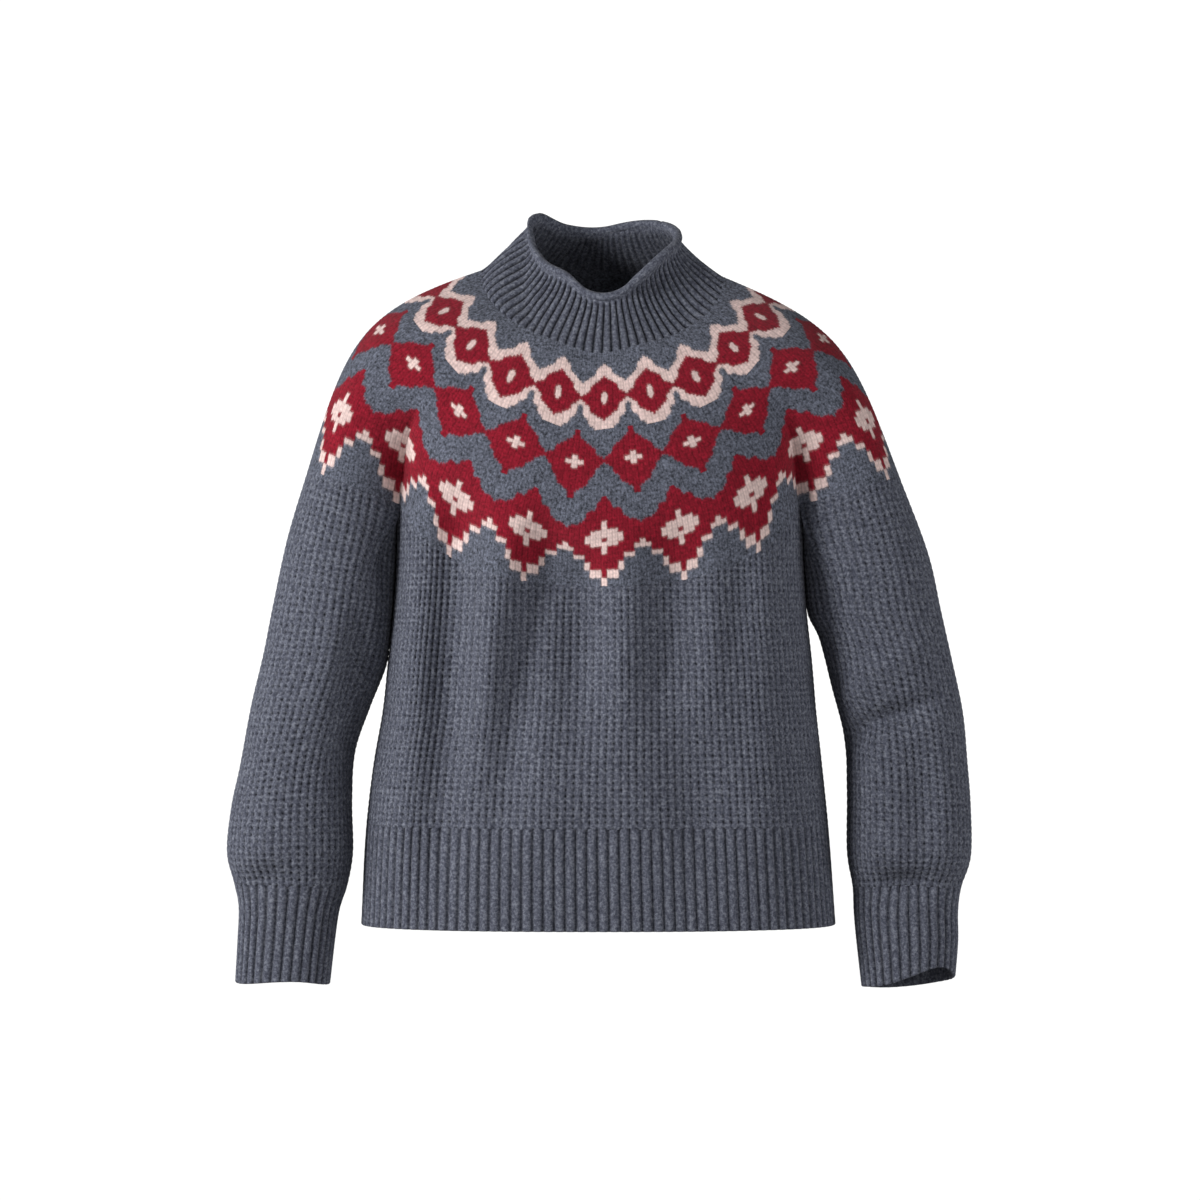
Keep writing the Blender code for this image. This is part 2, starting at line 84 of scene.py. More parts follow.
# the yoke's ring, counted in repeats of its pattern: all round, half the front, over a sleeve
REPEATS, FRONT_REPEATS, SLEEVE_REPEATS = 18, 2.75, 3.5
BODY = np.array(
    [
        # drop, left_x, right_x, front, back
        (190, 189, -189, 113, 106),
        (256, 189, -189, 119, 107),
        (302, 192, -192, 119, 104),
        (349, 197, -197, 117, 100),
        (396, 201, -202, 115, 98),
        (442, 206, -210, 113, 98),
        (500, 212, -217, 110, 100),
        (594, 219, -222, 106, 104),
    ],
    dtype=float,
)
BODY_SQUARENESS = 2.4
ARMPIT_X, ARMPIT_DROP = 184, 204
FRONT_SEAM_DROP, BACK_SEAM_DROP, SEAM_CURVE = 280, 266, 2.5
HEM_RIB_DROP, HEM_DROP = 501, 594

# x_top, x_bottom, top_drop, bottom_drop, half_width, depth (troughs below 0), faces_front
FOLDS = np.array(
    [
        (-128, -152, 165, 640, 26, -33, 1),
        (-22, -24, 215, 480, 31, -32, 1),
        (-44, -106, 190, 580, 22, -24, 1),
        (66, 58, 205, 490, 27, -23, 1),
        (134, 126, 215, 365, 18, -9, 1),
        (84, 92, 385, 600, 28, -13, 1),
        (-101, -106, 270, 440, 14, 6, 1),
        (20, 16, 285, 400, 14, 4, 1),
        (104, 102, 272, 400, 13, 5, 1),
        (-170, -184, 244, 640, 20, 8, 1),
        (152, 154, 200, 620, 22, 9, 1),
        (-30, 0, 440, 560, 30, -5, 1),
        (-105, -112, 270, 480, 22, -10, 0),
        (-30, -36, 320, 510, 20, -8, 0),
        (60, 52, 262, 430, 20, -10, 0),
        (130, 140, 320, 490, 18, -8, 0),
        (15, 10, 280, 410, 18, 5, 0),
        (-150, -158, 300, 450, 14, 5, 0),
    ],
    dtype=float,
)
# a fold's start in mm, and its end as a share of its length
FOLD_START, FOLD_END = 75, 0.6
ROUND_POINTS = 800


def cubic(start, start_way, end, end_way, s):
    """The cubic that leaves start along start_way and reaches end along end_way, s from 0 to 1."""
    return (
        (2 * s**3 - 3 * s**2 + 1) * start
        + (s**3 - 2 * s**2 + s) * start_way
        + (3 * s**2 - 2 * s**3) * end
        + (s**3 - s**2) * end_way
    )


def along(knots, values, at):
    """A smooth curve through a table's rows: cubic pieces whose slopes are central differences."""
    slopes = np.gradient(values, knots)
    i = np.clip(np.searchsorted(knots, at) - 1, 0, len(knots) - 2)
    step = knots[i + 1] - knots[i]
    s = (at - knots[i]) / step
    return cubic(values[i], step * slopes[i], values[i + 1], step * slopes[i + 1], s)


def signed_power(value, power):
    """A power of the value's size, with the value's own sign."""
    return np.sign(value) * np.abs(value) ** power


def eased(share):
    """From 0 to 1 with no slope at either end."""
    share = np.clip(share, 0, 1)
    return share * share * (3 - 2 * share)


def bell(distance, width):
    """1 in the middle, about a third at the width, and next to nothing at twice the width."""
    return np.exp(-((distance / width) ** 2))


def wrapped(angle, half_turn=np.pi):
    """The same angle, counted from half a turn below zero up to half a turn above."""
    return (angle + half_turn) % (2 * half_turn) - half_turn


def body_sizes(drop):
    """Middle x, half width, front depth and back depth of the body at each drop."""
    left, right, front, back = (along(BODY[:, 0], BODY[:, k], drop) for k in (1, 2, 3, 4))
    return (left + right) / 2, (left - right) / 2, front, back


def folds(x, drop, front):
    """How far the cloth stands out: a sum of bells across x, each eased in and out down its length."""
    height = np.zeros(np.broadcast(x, drop).shape)
    for x_top, x_bottom, top, bottom, half_width, depth, on_front in FOLDS:
        share = np.clip((drop - top) / (bottom - top), 0, 1)
        faded = eased((drop - top) / FOLD_START) * eased((1 - share) / FOLD_END)
        across = bell(x - x_top - (x_bottom - x_top) * share, half_width)
        height += depth * across * faded * (front == (on_front > 0.5))
    return height


def body_point(angle, drop, folded=True):
    """Squarish oval at this drop: angle 0 is centre front, 90 degrees the wearer's left side."""
    middle, half, front, back = body_sizes(drop)
    in_front = np.cos(angle) > 0
    x = middle + half * signed_power(np.sin(angle), 2 / BODY_SQUARENESS)
    depth = np.where(in_front, front, back) + (folds(x, drop, in_front) if folded else 0)
    y = -depth * signed_power(np.cos(angle), 2 / BODY_SQUARENESS)
    return np.stack([x, y, -drop + 0 * x], axis=-1)


def body_reach(y, drop):
    """Half width of the body at a given y: where a level line from the middle leaves it."""
    middle, half, front, back = body_sizes(drop)
    share = np.clip(np.abs(y) / np.where(y < 0, front, back), 0, 1)
    return middle, half * (1 - share**BODY_SQUARENESS) ** (1 / BODY_SQUARENESS)


def fold_share(x, drop):
    """How much of a fold's height shows at this x: all of it in the middle, none at the sides."""
    middle, half = body_sizes(np.maximum(drop, BODY[0, 0]))[:2]
    off = np.clip(np.abs(x - middle) / half, 0, 1)
    return (1 - off**BODY_SQUARENESS) ** (1 / BODY_SQUARENESS)


def armpit_angle():
    """The angle at which the body oval, at armpit height, is ARMPIT_X from the middle."""
    half = body_sizes(np.array([float(ARMPIT_DROP)]))[1][0]
    return np.arcsin((ARMPIT_X / half) ** (BODY_SQUARENESS / 2))


def lengths_along(points):
    """Distance run along a row of points, 0 at the first."""
    return np.concatenate([[0], np.cumsum(np.linalg.norm(np.diff(points, axis=0), axis=1))])


ROUND_ANGLES = np.linspace(0, np.pi / 2, ROUND_POINTS)
ROUND_LENGTHS = lengths_along(body_point(ROUND_ANGLES, np.full(ROUND_POINTS, float(ARMPIT_DROP))))
ROUND_SHARES = ROUND_LENGTHS / np.interp(armpit_angle(), ROUND_ANGLES, ROUND_LENGTHS)


def body_angle(share):
    """Angle of a point that lies this share of the way, by length, from centre to the armpit."""
    return np.sign(share) * np.interp(np.abs(share), ROUND_SHARES, ROUND_ANGLES)


def body_top(angle, front):
    """Drop of the body's upper edge: deepest in the middle, level under the arm."""
    share = np.interp(np.abs(angle), ROUND_ANGLES, ROUND_SHARES)
    centre_drop = FRONT_SEAM_DROP if front else BACK_SEAM_DROP
    return centre_drop + (ARMPIT_DROP - centre_drop) * np.minimum(share, 1) ** SEAM_CURVE


def underarm(side, share):
    """The short seam between body and sleeve: share -1 at the front armpit, +1 at the back."""
    angle = side * (np.pi / 2 + share * (np.pi / 2 - armpit_angle()))
    return body_point(angle, np.full(np.shape(angle), float(ARMPIT_DROP)))


print("half round at the armpits", round(2 * ROUND_LENGTHS[-1]), "mm")

# %% [markdown]
# ## The sleeves' shape
#
# Each sleeve is a row of ovals. Their inner and outer edges were read where the outline runs in
# the photo, and their depth is a guess from the width. The top of the sleeve isn't an oval: it is
# drawn in to the two points where body, sleeve and yoke meet.

# %% Sleeve tables
LEFT_SLEEVE = np.array(
    [
        # inner_x, inner_drop, outer_x, outer_drop, depth, middle_y
        (194, 206, 278, 177, 67, 4),
        (189, 256, 305, 249, 66, 2),
        (192, 302, 317, 303, 64, 0),
        (204, 330, 327, 348, 62, -2),
        (216, 377, 337, 397, 60, -4),
        (226, 416, 341, 442, 58, -6),
        (229, 470, 344, 484, 56, -8),
        (229, 526, 344, 530, 52, -10),
        (234, 558, 335, 559, 41, -12),
        (235, 581, 332, 581, 37, -13),
        (237, 605, 332, 609, 35, -14),
        (242, 650, 329, 645, 36, -15),
    ],
    dtype=float,
)
RIGHT_SLEEVE = np.array(
    [
        # inner_x, inner_drop, outer_x, outer_drop, depth, middle_y
        (193, 204, 271, 170, 67, 4),
        (189, 256, 290, 233, 66, 2),
        (191, 304, 303, 293, 64, 0),
        (197, 349, 313, 344, 62, -2),
        (213, 392, 324, 391, 60, -4),
        (227, 434, 334, 446, 58, -6),
        (230, 479, 342, 484, 56, -8),
        (229, 526, 346, 526, 52, -10),
        (234, 557, 339, 556, 41, -12),
        (241, 579, 335, 577, 37, -13),
        (245, 605, 336, 608, 35, -14),
        (250, 649, 338, 645, 36, -15),
    ],
    dtype=float,
)
SLEEVE_SQUARENESS = 2.2
CUFF_ROW, LAST_ROW = 8, 11
ARMPIT_TURN = np.radians(132)
ARMPIT_FADE_ROWS, ARMPIT_PULL_POWER, BODY_CLEARANCE = 1.6, 4, 0.8


def sleeve_oval(side, turn, row):
    """Plain sleeve section: turn 0 is the outer edge, 180 degrees the inner, + towards the back."""
    table = LEFT_SLEEVE if side > 0 else RIGHT_SLEEVE
    rows = np.arange(len(table), dtype=float)
    inner_x, inner_drop, outer_x, outer_drop, depth, middle_y = (
        along(rows, table[:, k], row) for k in range(table.shape[1])
    )
    across = signed_power(np.cos(turn), 2 / SLEEVE_SQUARENESS)
    deep = signed_power(np.sin(turn), 2 / SLEEVE_SQUARENESS)
    x = (inner_x + outer_x) / 2 + (outer_x - inner_x) / 2 * across
    drop = (inner_drop + outer_drop) / 2 + (outer_drop - inner_drop) / 2 * across
    return np.stack([side * x, middle_y + depth * deep, -drop], axis=-1)


def sleeve_top(side, turn):
    """The sleeve's upper edge: its own oval, drawn in at both ends to the armpit's points."""
    row = np.zeros_like(turn)
    ends = np.sign(turn) * ARMPIT_TURN
    pull = (np.minimum(np.abs(turn) / ARMPIT_TURN, 1) ** ARMPIT_PULL_POWER)[..., None]
    armpit = underarm(side, np.sign(turn))
    over = sleeve_oval(side, turn, row) + (armpit - sleeve_oval(side, ends, row)) * pull
    under = underarm(side, np.sign(turn) * (np.pi - np.abs(turn)) / (np.pi - ARMPIT_TURN))
    return np.where((np.abs(turn) <= ARMPIT_TURN)[..., None], over, under)


def sleeve_point(side, turn, row):
    """The sleeve: its oval sections, eased from its upper edge and kept clear of the body."""
    turn, row = np.broadcast_arrays(np.asarray(turn, float), np.asarray(row, float))
    ease = (1 - eased(row / ARMPIT_FADE_ROWS))[..., None]
    from_edge = sleeve_top(side, turn) - sleeve_oval(side, turn, np.zeros_like(row))
    points = sleeve_oval(side, turn, row) + from_edge * ease
    middle, reach = body_reach(points[..., 1], np.clip(-points[..., 2], BODY[0, 0], HEM_DROP))
    nearest = side * middle + reach + BODY_CLEARANCE * np.minimum(row, 1)
    points[..., 0] = side * np.maximum(side * points[..., 0], nearest)
    return points


# %% [markdown]
# ## The collar's and the yoke's shape
#
# The collar is a funnel between two rings, one on the shoulders and one under the rolled edge.
# The yoke is a ring of curves that leave the collar at the shoulders' slope and reach the cloth
# below in its own direction. Near each armpit a crease deepens towards the point where the three
# pieces meet. The body's folds run up into the yoke by the same bells, so they cross the seam
# whole. A table parts each of the yoke's curves into equal lengths, for rows of equal height.

# %% Collar and yoke
BASE_MIDDLE_X, BASE_HALF_WIDTH, BASE_MIDDLE_Y, BASE_HALF_DEPTH = 2, 113, -4, 78
BASE_DROP_FRONT, BASE_DROP_SIDE, BASE_DROP_BACK, BASE_LEAN = 62, -10, -20, 3
BASE_DIP, BASE_DIP_ANGLE, BASE_DIP_SPAN = 6.5, np.radians(-3), np.radians(14)
RIM_MIDDLE_X, RIM_HALF_WIDTH, RIM_MIDDLE_Y, RIM_HALF_DEPTH = 4, 70, -4, 58
RIM = np.array(
    [
        # degrees from centre front, drop; the rows beyond half a turn repeat those on the far side
        (-215, -56),
        (-180, -51),
        (-150, -52),
        (-115, -61.5),
        (-97, -54.5),
        (-83, -40),
        (-50, -10.5),
        (-28, 1.5),
        (-14, 15),
        (0, 19),
        (14, 14.5),
        (29, 1),
        (54, -20.5),
        (85, -37.5),
        (103, -47),
        (125, -54),
        (145, -56),
        (180, -51),
        (210, -52),
    ],
    dtype=float,
)
COLLAR_FOLDS = (
    # degrees at the base, degrees at the rim, half width in degrees, height (troughs below 0)
    (-62, -98, 24, 12),
    (-30, -86, 9, -4),
    (2, -2, 15, 3),
    (50, 40, 20, -8),
    (75, 110, 20, 4),
    (150, 165, 12, -3),
    (205, 190, 14, 3),
)
COLLAR_HOLLOW, COLLAR_FADE, ROLL_RADIUS = 0.65, 0.8, 4.4
SLOPE_FRONT, SLOPE_SIDE, SLOPE_BACK, SLOPE_LEAN = np.radians((62, 20, 42, 2))
SWELL_FRONT, SWELL_SIDE = 1.0, 1.5
BRIDGE_REPEATS, CREASE_TOP, WAY_STEP = 0.8, 0.42, 0.02
YOKE_LENGTH, COLLAR_LENGTH, SLEEVE_ROW_LENGTH = 200, 45, 22
EVEN_REPEATS, EVEN_SHARES, FINER, SEAM_SAMPLES = 720, 60, 4, 400


def collar_ring(angle, middle_x, half_width, middle_y, half_depth, drop):
    """An ellipse round the neck, each of whose points has its own drop."""
    return np.stack(
        [middle_x + half_width * np.sin(angle), middle_y - half_depth * np.cos(angle), -drop],
        axis=-1,
    )


def neck_blend(angle, front, side, back, lean, power):
    """A number round the neck: by powers of the cosine from side to front or back, and a lean."""
    forward, backward = np.maximum(np.cos(angle), 0), np.maximum(-np.cos(angle), 0)
    return (
        side
        + (front - side) * forward**power
        + (back - side) * backward**power
        + lean * np.sin(angle)
    )


def collar_base(angle):
    """The ring where the rib meets the yoke: low in front, high at the sides and behind."""
    drop = neck_blend(angle, BASE_DROP_FRONT, BASE_DROP_SIDE, BASE_DROP_BACK, BASE_LEAN, 1)
    drop = drop + BASE_DIP * bell(wrapped(angle) - BASE_DIP_ANGLE, BASE_DIP_SPAN)
    return collar_ring(
        angle, BASE_MIDDLE_X, BASE_HALF_WIDTH, BASE_MIDDLE_Y, BASE_HALF_DEPTH, drop
    )


def collar_rim(angle):
    """The ring under the rolled edge, at the heights of its table."""
    drop = along(RIM[:, 0], RIM[:, 1], np.degrees(wrapped(angle)))
    return collar_ring(angle, RIM_MIDDLE_X, RIM_HALF_WIDTH, RIM_MIDDLE_Y, RIM_HALF_DEPTH, drop)


def neck_way(angle):
    """Unit direction in which cloth leaves the collar's base: outwards and down."""
    slope = neck_blend(angle, SLOPE_FRONT, SLOPE_SIDE, SLOPE_BACK, SLOPE_LEAN, 2)
    level = np.stack([BASE_HALF_DEPTH * np.sin(angle), -BASE_HALF_WIDTH * np.cos(angle)], -1)
    level /= np.linalg.norm(level, axis=-1, keepdims=True)
    return np.concatenate([level * np.cos(slope)[..., None], -np.sin(slope)[..., None]], -1)


def yoke_edge(repeat):
    """The yoke's outer ring, and the way the cloth below leaves each of its points."""
    distance = np.abs(repeat)
    side = np.where(repeat >= 0, 1.0, -1.0)
    points, way = np.empty(repeat.shape + (3,)), np.empty(repeat.shape + (3,))
    on_front = distance <= FRONT_REPEATS
    on_back = distance >= FRONT_REPEATS + SLEEVE_REPEATS
    for where, front in ((on_front, True), (on_back, False)):
        from_centre = distance[where] if front else REPEATS / 2 - distance[where]
        angle = body_angle(from_centre / FRONT_REPEATS)
        drop = body_top(angle, front)
        angle = side[where] * (angle if front else np.pi - angle)
        points[where] = body_point(angle, drop, False)
        way[where] = body_point(angle, drop + WAY_STEP, False) - points[where]
    for sign in (1, -1):
        where = ~on_front & ~on_back & (side == sign)
        turn = ((distance[where] - FRONT_REPEATS) / SLEEVE_REPEATS * 2 - 1) * ARMPIT_TURN
        row = np.zeros_like(turn)
        points[where] = sleeve_point(sign, turn, row)
        way[where] = sleeve_point(sign, turn, row + WAY_STEP) - points[where]
    return points, way / np.linalg.norm(way, axis=-1, keepdims=True)


def chest_bridge(repeat):
    """The yoke's outer ring, the same ring without its armpit creases, and the cloth's way there.

    A cubic spans each crease from chest to sleeve, and the way turns evenly across it.
    """
    points, way = yoke_edge(repeat)
    distance, side = np.abs(repeat), np.where(repeat >= 0, 1.0, -1.0)
    bridge = points.copy()
    for armpit in (FRONT_REPEATS, FRONT_REPEATS + SLEEVE_REPEATS):
        near = np.abs(distance - armpit) < BRIDGE_REPEATS
        start, end = armpit - BRIDGE_REPEATS, armpit + BRIDGE_REPEATS
        places = (start, start - WAY_STEP, end, end + WAY_STEP)
        ends, ways = zip(*(yoke_edge(side[near] * at) for at in places))
        start_way = (ends[0] - ends[1]) / WAY_STEP * (end - start)
        end_way = (ends[3] - ends[2]) / WAY_STEP * (end - start)
        share = ((distance[near] - start) / (end - start))[..., None]
        bridge[near] = cubic(ends[0], start_way, ends[2], end_way, share)
        turned = ways[0] + (ways[2] - ways[0]) * eased(share)
        way[near] = turned / np.linalg.norm(turned, axis=-1, keepdims=True)
    return points, bridge, way


def yoke_surface(repeat, share):
    """The yoke for one row of repeats and a grid of shares: 0 at the collar, 1 at the seam."""
    angle = repeat * 2 * np.pi / REPEATS
    repeat = (repeat + REPEATS / 2) % REPEATS - REPEATS / 2
    inner = collar_base(angle)
    outer, bridge, end_way = chest_bridge(repeat)
    reach = np.linalg.norm(bridge - inner, axis=-1)
    swell = SWELL_FRONT + (SWELL_SIDE - SWELL_FRONT) * np.sin(angle) ** 2
    reach = (reach * swell)[..., None]
    points = cubic(inner, neck_way(angle) * reach, bridge, end_way * reach, share[..., None])
    points += (outer - bridge) * eased((share - CREASE_TOP) / (1 - CREASE_TOP))[..., None]
    x, drop, in_front = points[..., 0], -points[..., 2], points[..., 1] < 0
    height = folds(x, drop, in_front) * fold_share(x, drop)
    points[..., 1] += np.where(in_front, -height, height)
    return points


def collar_point(angle, share):
    """The funnel of the collar: share 0 on the shoulders, 1 under the roll."""
    base, rim = collar_base(angle), collar_rim(angle)
    reach = COLLAR_HOLLOW * np.linalg.norm(rim - base, axis=-1)[..., None]
    up = np.array([0, 0, 1.0])
    points = cubic(base, -neck_way(angle) * reach, rim, up * reach, share[..., None])
    outwards = np.stack([np.sin(angle), -np.cos(angle), 0 * angle], -1)
    degrees, height = np.degrees(angle), 0
    for at_base, at_rim, half_width, fold_height in COLLAR_FOLDS:
        middle = at_base + (at_rim - at_base) * np.clip(share, 0, 1)
        height = height + fold_height * bell(wrapped(degrees - middle, 180), half_width)
    fade = np.sin(np.pi * np.clip(share, 0, 1)) ** COLLAR_FADE
    return points + outwards * (height * fade)[..., None]


def even_table():
    """Shares of the yoke's cubics that part each of them into equal lengths."""
    repeat = np.linspace(0, REPEATS, EVEN_REPEATS + 1)
    share = np.linspace(0, 1, FINER * EVEN_SHARES + 1)
    points = yoke_surface(repeat, share[:, None] + 0 * repeat)
    steps = np.linalg.norm(np.diff(points, axis=0), axis=-1)
    run = np.concatenate([0 * steps[:1], np.cumsum(steps, axis=0)])
    even = np.linspace(0, 1, EVEN_SHARES + 1)
    return np.stack([np.interp(even, way / way[-1], share) for way in run.T], axis=1)


def even_share(repeat, share):
    """The cubic's own share where this share of its length is reached: a blend of four entries."""
    inside = np.clip(share, 0, 1)
    column, row = repeat % REPEATS / REPEATS * EVEN_REPEATS, inside * EVEN_SHARES
    i = np.minimum(row.astype(int), EVEN_SHARES - 1)
    j = np.minimum(column.astype(int), EVEN_REPEATS - 1)
    upper, lower = (
        EVEN_TABLE[k, j] + (EVEN_TABLE[k, j + 1] - EVEN_TABLE[k, j]) * (column - j)
        for k in (i, i + 1)
    )
    return upper + (lower - upper) * (row - i) + share - inside


EVEN_TABLE = even_table()
seam = yoke_surface(np.linspace(0, REPEATS, SEAM_SAMPLES), np.ones((1, SEAM_SAMPLES)))[0]
print("yoke seam", round(lengths_along(seam)[-1]), "mm round")

# %% [markdown]
# ## One sheet of cloth from two grids
#
# Cloth has two faces, and a mesh that has both, joined at the edges, can be looked into and
# exported as a solid. The face that shows needs a fine grid for its stitches; the one inside can
# be coarse. Rather than a modifier, which would copy every stitch to the inside, two grids are
# laid a wall apart, and a strip of triangles closes each edge like a zip: it steps along
# whichever chain of points is behind.

# %% Mesh helpers
SHARP_ANGLE = np.radians(75)
# INSIDE_SHADE is painted shade on the cloth's inner faces, where little light reaches
ONE_SEED, INSIDE_SHADE = 20, 0.5


def spread(first, last, count, closed=False):
    """Evenly spaced parameters; a closed round doesn't repeat its first one."""
    return np.linspace(first, last, count + 1)[: count if closed else count + 1]


def normals_of(points, closed):
    """Unit normals of a grid of points: its step down crossed with its step to the right."""
    down = np.gradient(points, axis=0)
    if closed:
        across = np.roll(points, -1, axis=1) - np.roll(points, 1, axis=1)
    else:
        across = np.gradient(points, axis=1)
    normal = np.cross(down, across)
    return normal / np.maximum(np.linalg.norm(normal, axis=-1, keepdims=True), 1e-9)


def quads_of(ids, closed):
    """Quads between neighbouring rows and columns, facing the way that normals_of points."""
    right = np.roll(ids, -1, axis=1) if closed else ids[:, 1:]
    left = ids if closed else ids[:, :-1]
    return np.stack([left[:-1], left[1:], right[1:], right[:-1]], axis=-1).reshape(-1, 4)


def zipped(upper, upper_at, lower, lower_at):
    """Triangles between two chains, and for each whether it stands on the upper one, and its step.

    The steps of both chains are taken in the order of their middles.
    """
    middles = [(at[1:] + at[:-1]) / 2 for at in (upper_at, lower_at)]
    order = np.argsort(np.concatenate(middles), kind="stable")
    on_upper = order < len(upper) - 1
    i = np.cumsum(on_upper) - on_upper
    j = np.cumsum(~on_upper) - ~on_upper
    ahead = np.where(
        on_upper,
        upper[np.minimum(i + 1, len(upper) - 1)],
        lower[np.minimum(j + 1, len(lower) - 1)],
    )
    return np.stack([upper[i], lower[j], ahead], axis=-1), on_upper, np.where(on_upper, i, j)


def chain(ids, closed):
    """A chain of points and their even places from 0 to 1; a closed one ends where it began."""
    ids = np.append(ids, ids[0]) if closed else ids
    return ids, np.linspace(0, 1, len(ids))


def strip(upper, lower, closed, turned):
    """Triangles between two chains of evenly placed points, turned over if asked."""
    triangles = zipped(*chain(upper, closed), *chain(lower, closed))[0]
    return triangles[:, ::-1] if turned else triangles


def knit(name, points, quads, triangles, turned, finish, painted_shade, yarn=None):
    """One object of cloth, with a painted shade for each point, the share by which its colour is
    darkened, and a yarn colour for each face's corner.
    """
    used, numbers = np.unique(
        np.concatenate([quads.ravel(), triangles.ravel()]), return_inverse=True
    )
    numbers = numbers.reshape(-1)
    quads = numbers[: quads.size].reshape(-1, 4)
    triangles = numbers[quads.size :].reshape(-1, 3)
    if turned:
        quads, triangles = quads[:, ::-1], triangles[:, ::-1]
    mesh = bpy.data.meshes.new(name)
    mesh.from_pydata((points[used] * MM).tolist(), [], quads.tolist() + triangles.tolist())
    mesh.update()
    mesh.shade_smooth()
    mesh.set_sharp_from_angle(angle=SHARP_ANGLE)
    # each point's painted shade, which the finish reads to darken its colour
    layer = mesh.attributes.new("painted_shade", "FLOAT", "POINT")
    layer.data.foreach_set("value", painted_shade[used].astype(np.float32))
    if yarn is not None:
        corners = np.concatenate([part.reshape(-1, 4) for part in yarn])
        layer = mesh.color_attributes.new("yarn", "FLOAT_COLOR", "CORNER")
        layer.data.foreach_set("color", corners.astype(np.float32).ravel())
    mesh.materials.append(finish)
    piece = bpy.data.objects.new(name, mesh)
    bpy.context.collection.objects.link(piece)
    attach(piece, "root")
    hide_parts(name.replace("knit_", ""))
    print(name, len(points[used]), "points,", 2 * len(quads) + len(triangles), "triangles")
    return piece


# %% [markdown]
# ## Wool
#
# The yarn is a heather: fibres of several greys and blues are spun together, so the colour
# changes every millimetre, and a soft fuzz stands off it. Noise in object space gives the
# flecks, a finer noise the fuzz, and sheen the pale bloom where the cloth turns away. Light
# hardly reaches the pits between stitches, so a number at each point paints shade into the
# colour, darkening them a little more than the relief does alone. The same number paints shade
# into the rib grooves, the lines along the collar's roll and the cloth's inner faces. Numbers
# that hold all over sit on the shader itself.

# %% Wool material
FLECKS = (
    # noise, colour
    (0.34, (0.040, 0.043, 0.060)),
    (0.50, (0.080, 0.086, 0.113)),
    (0.68, (0.165, 0.175, 0.209)),
)
FLECK_NOISE = {"Scale": 400.0, "Detail": 3.0, "Roughness": 0.65}
FUZZ_NOISE = {"Scale": 1500.0, "Detail": 2.0, "Roughness": 0.6}
FUZZ = {"Strength": 0.5, "Distance": 0.0005}
STITCH_NOISE = {"From Min": 0.32, "From Max": 0.68, "To Min": -1.0, "To Max": 1.0}
WOOL_SURFACE = {
    "Roughness": 0.95,
    "Specular IOR Level": 0.1,
    "Sheen Weight": 0.06,
    "Sheen Roughness": 0.55,
}
PIT_SHADE = 0.75


def add_node(tree, kind, sockets, operation=None):
    """A shader node whose sockets are set to values, or linked where an output is given."""
    node = tree.nodes.new("ShaderNode" + kind)
    if operation:
        node.operation = operation
    for socket, value in sockets.items():
        if isinstance(value, bpy.types.NodeSocket):
            tree.links.new(value, node.inputs[socket])
        else:
            node.inputs[socket].default_value = value
    return node


def heathered(tree, fleck):
    """Flecks of the three slate colours, by the noise."""
    ramp = add_node(tree, "ValToRGB", {"Fac": fleck})
    stops = ramp.color_ramp.elements
    stops.new(FLECKS[1][0])
    for stop, (place, colour) in zip(stops, FLECKS):
        stop.position, stop.color = place, (*colour, 1)
    return ramp.outputs["Color"]


def dyed(tree, fleck):
    """Each stitch's own colour, which its flecks make lighter and darker by its alpha's share."""
    stitch = add_node(tree, "VertexColor", {})
    stitch.layer_name = "yarn"
    swing = add_node(tree, "MapRange", {"Value": fleck, **STITCH_NOISE}).outputs["Result"]
    shares = {0: swing, 1: stitch.outputs["Alpha"], 2: 1.0}
    amount = add_node(tree, "Math", shares, "MULTIPLY_ADD").outputs["Value"]
    coloured = {0: stitch.outputs["Color"], "Scale": amount}
    return add_node(tree, "VectorMath", coloured, "SCALE").outputs["Vector"]


def wool(name, colours):
    """A woollen finish: its yarn's colours, darkened by painted shade in the pits and on inner faces,
    and a fuzz that is a fine bump.
    """
    finish = bpy.data.materials.new(name)
    finish.use_nodes = True
    tree = finish.node_tree
    shader = tree.nodes["Principled BSDF"]
    for socket, value in WOOL_SURFACE.items():
        shader.inputs[socket].default_value = value
    place = add_node(tree, "TexCoord", {}).outputs["Object"]
    fleck = add_node(tree, "TexNoise", {"Vector": place, **FLECK_NOISE}).outputs["Fac"]
    fuzz = add_node(tree, "TexNoise", {"Vector": place, **FUZZ_NOISE}).outputs["Fac"]
    # painted shade: the number at each point darkens the yarn's colour, most in pits and grooves
    painted_shade_node = add_node(tree, "Attribute", {})
    painted_shade_node.attribute_name = "painted_shade"
    shares = {0: painted_shade_node.outputs["Fac"], 1: -PIT_SHADE, 2: 1.0}
    kept = add_node(tree, "Math", shares, "MULTIPLY_ADD").outputs["Value"]
    darkened = add_node(tree, "VectorMath", {0: colours(tree, fleck), "Scale": kept}, "SCALE")
    bump = add_node(tree, "Bump", {"Height": fuzz, **FUZZ})
    tree.links.new(darkened.outputs["Vector"], shader.inputs["Base Color"])
    tree.links.new(bump.outputs["Normal"], shader.inputs["Normal"])
    return finish


waffle_wool, rib_wool = (wool(name, heathered) for name in ("waffle_wool", "rib_wool"))
pattern_wool = wool("pattern_wool", dyed)
print("finishes", [m.name for m in (waffle_wool, rib_wool, pattern_wool)])

# %% [markdown]
# ## Waffle and rib
#
# Waffle knit has columns of plump ridges. Deep pits sit between them in level rows, with a small
# bridge from pit to pit. A formula gives the depth at any place, counted in columns and rows. Real
# hands are uneven, so each cell gets its own depth. A rib is simpler: wide flat ridges and narrow
# grooves, with a faint line down the middle where two columns of stitches meet.

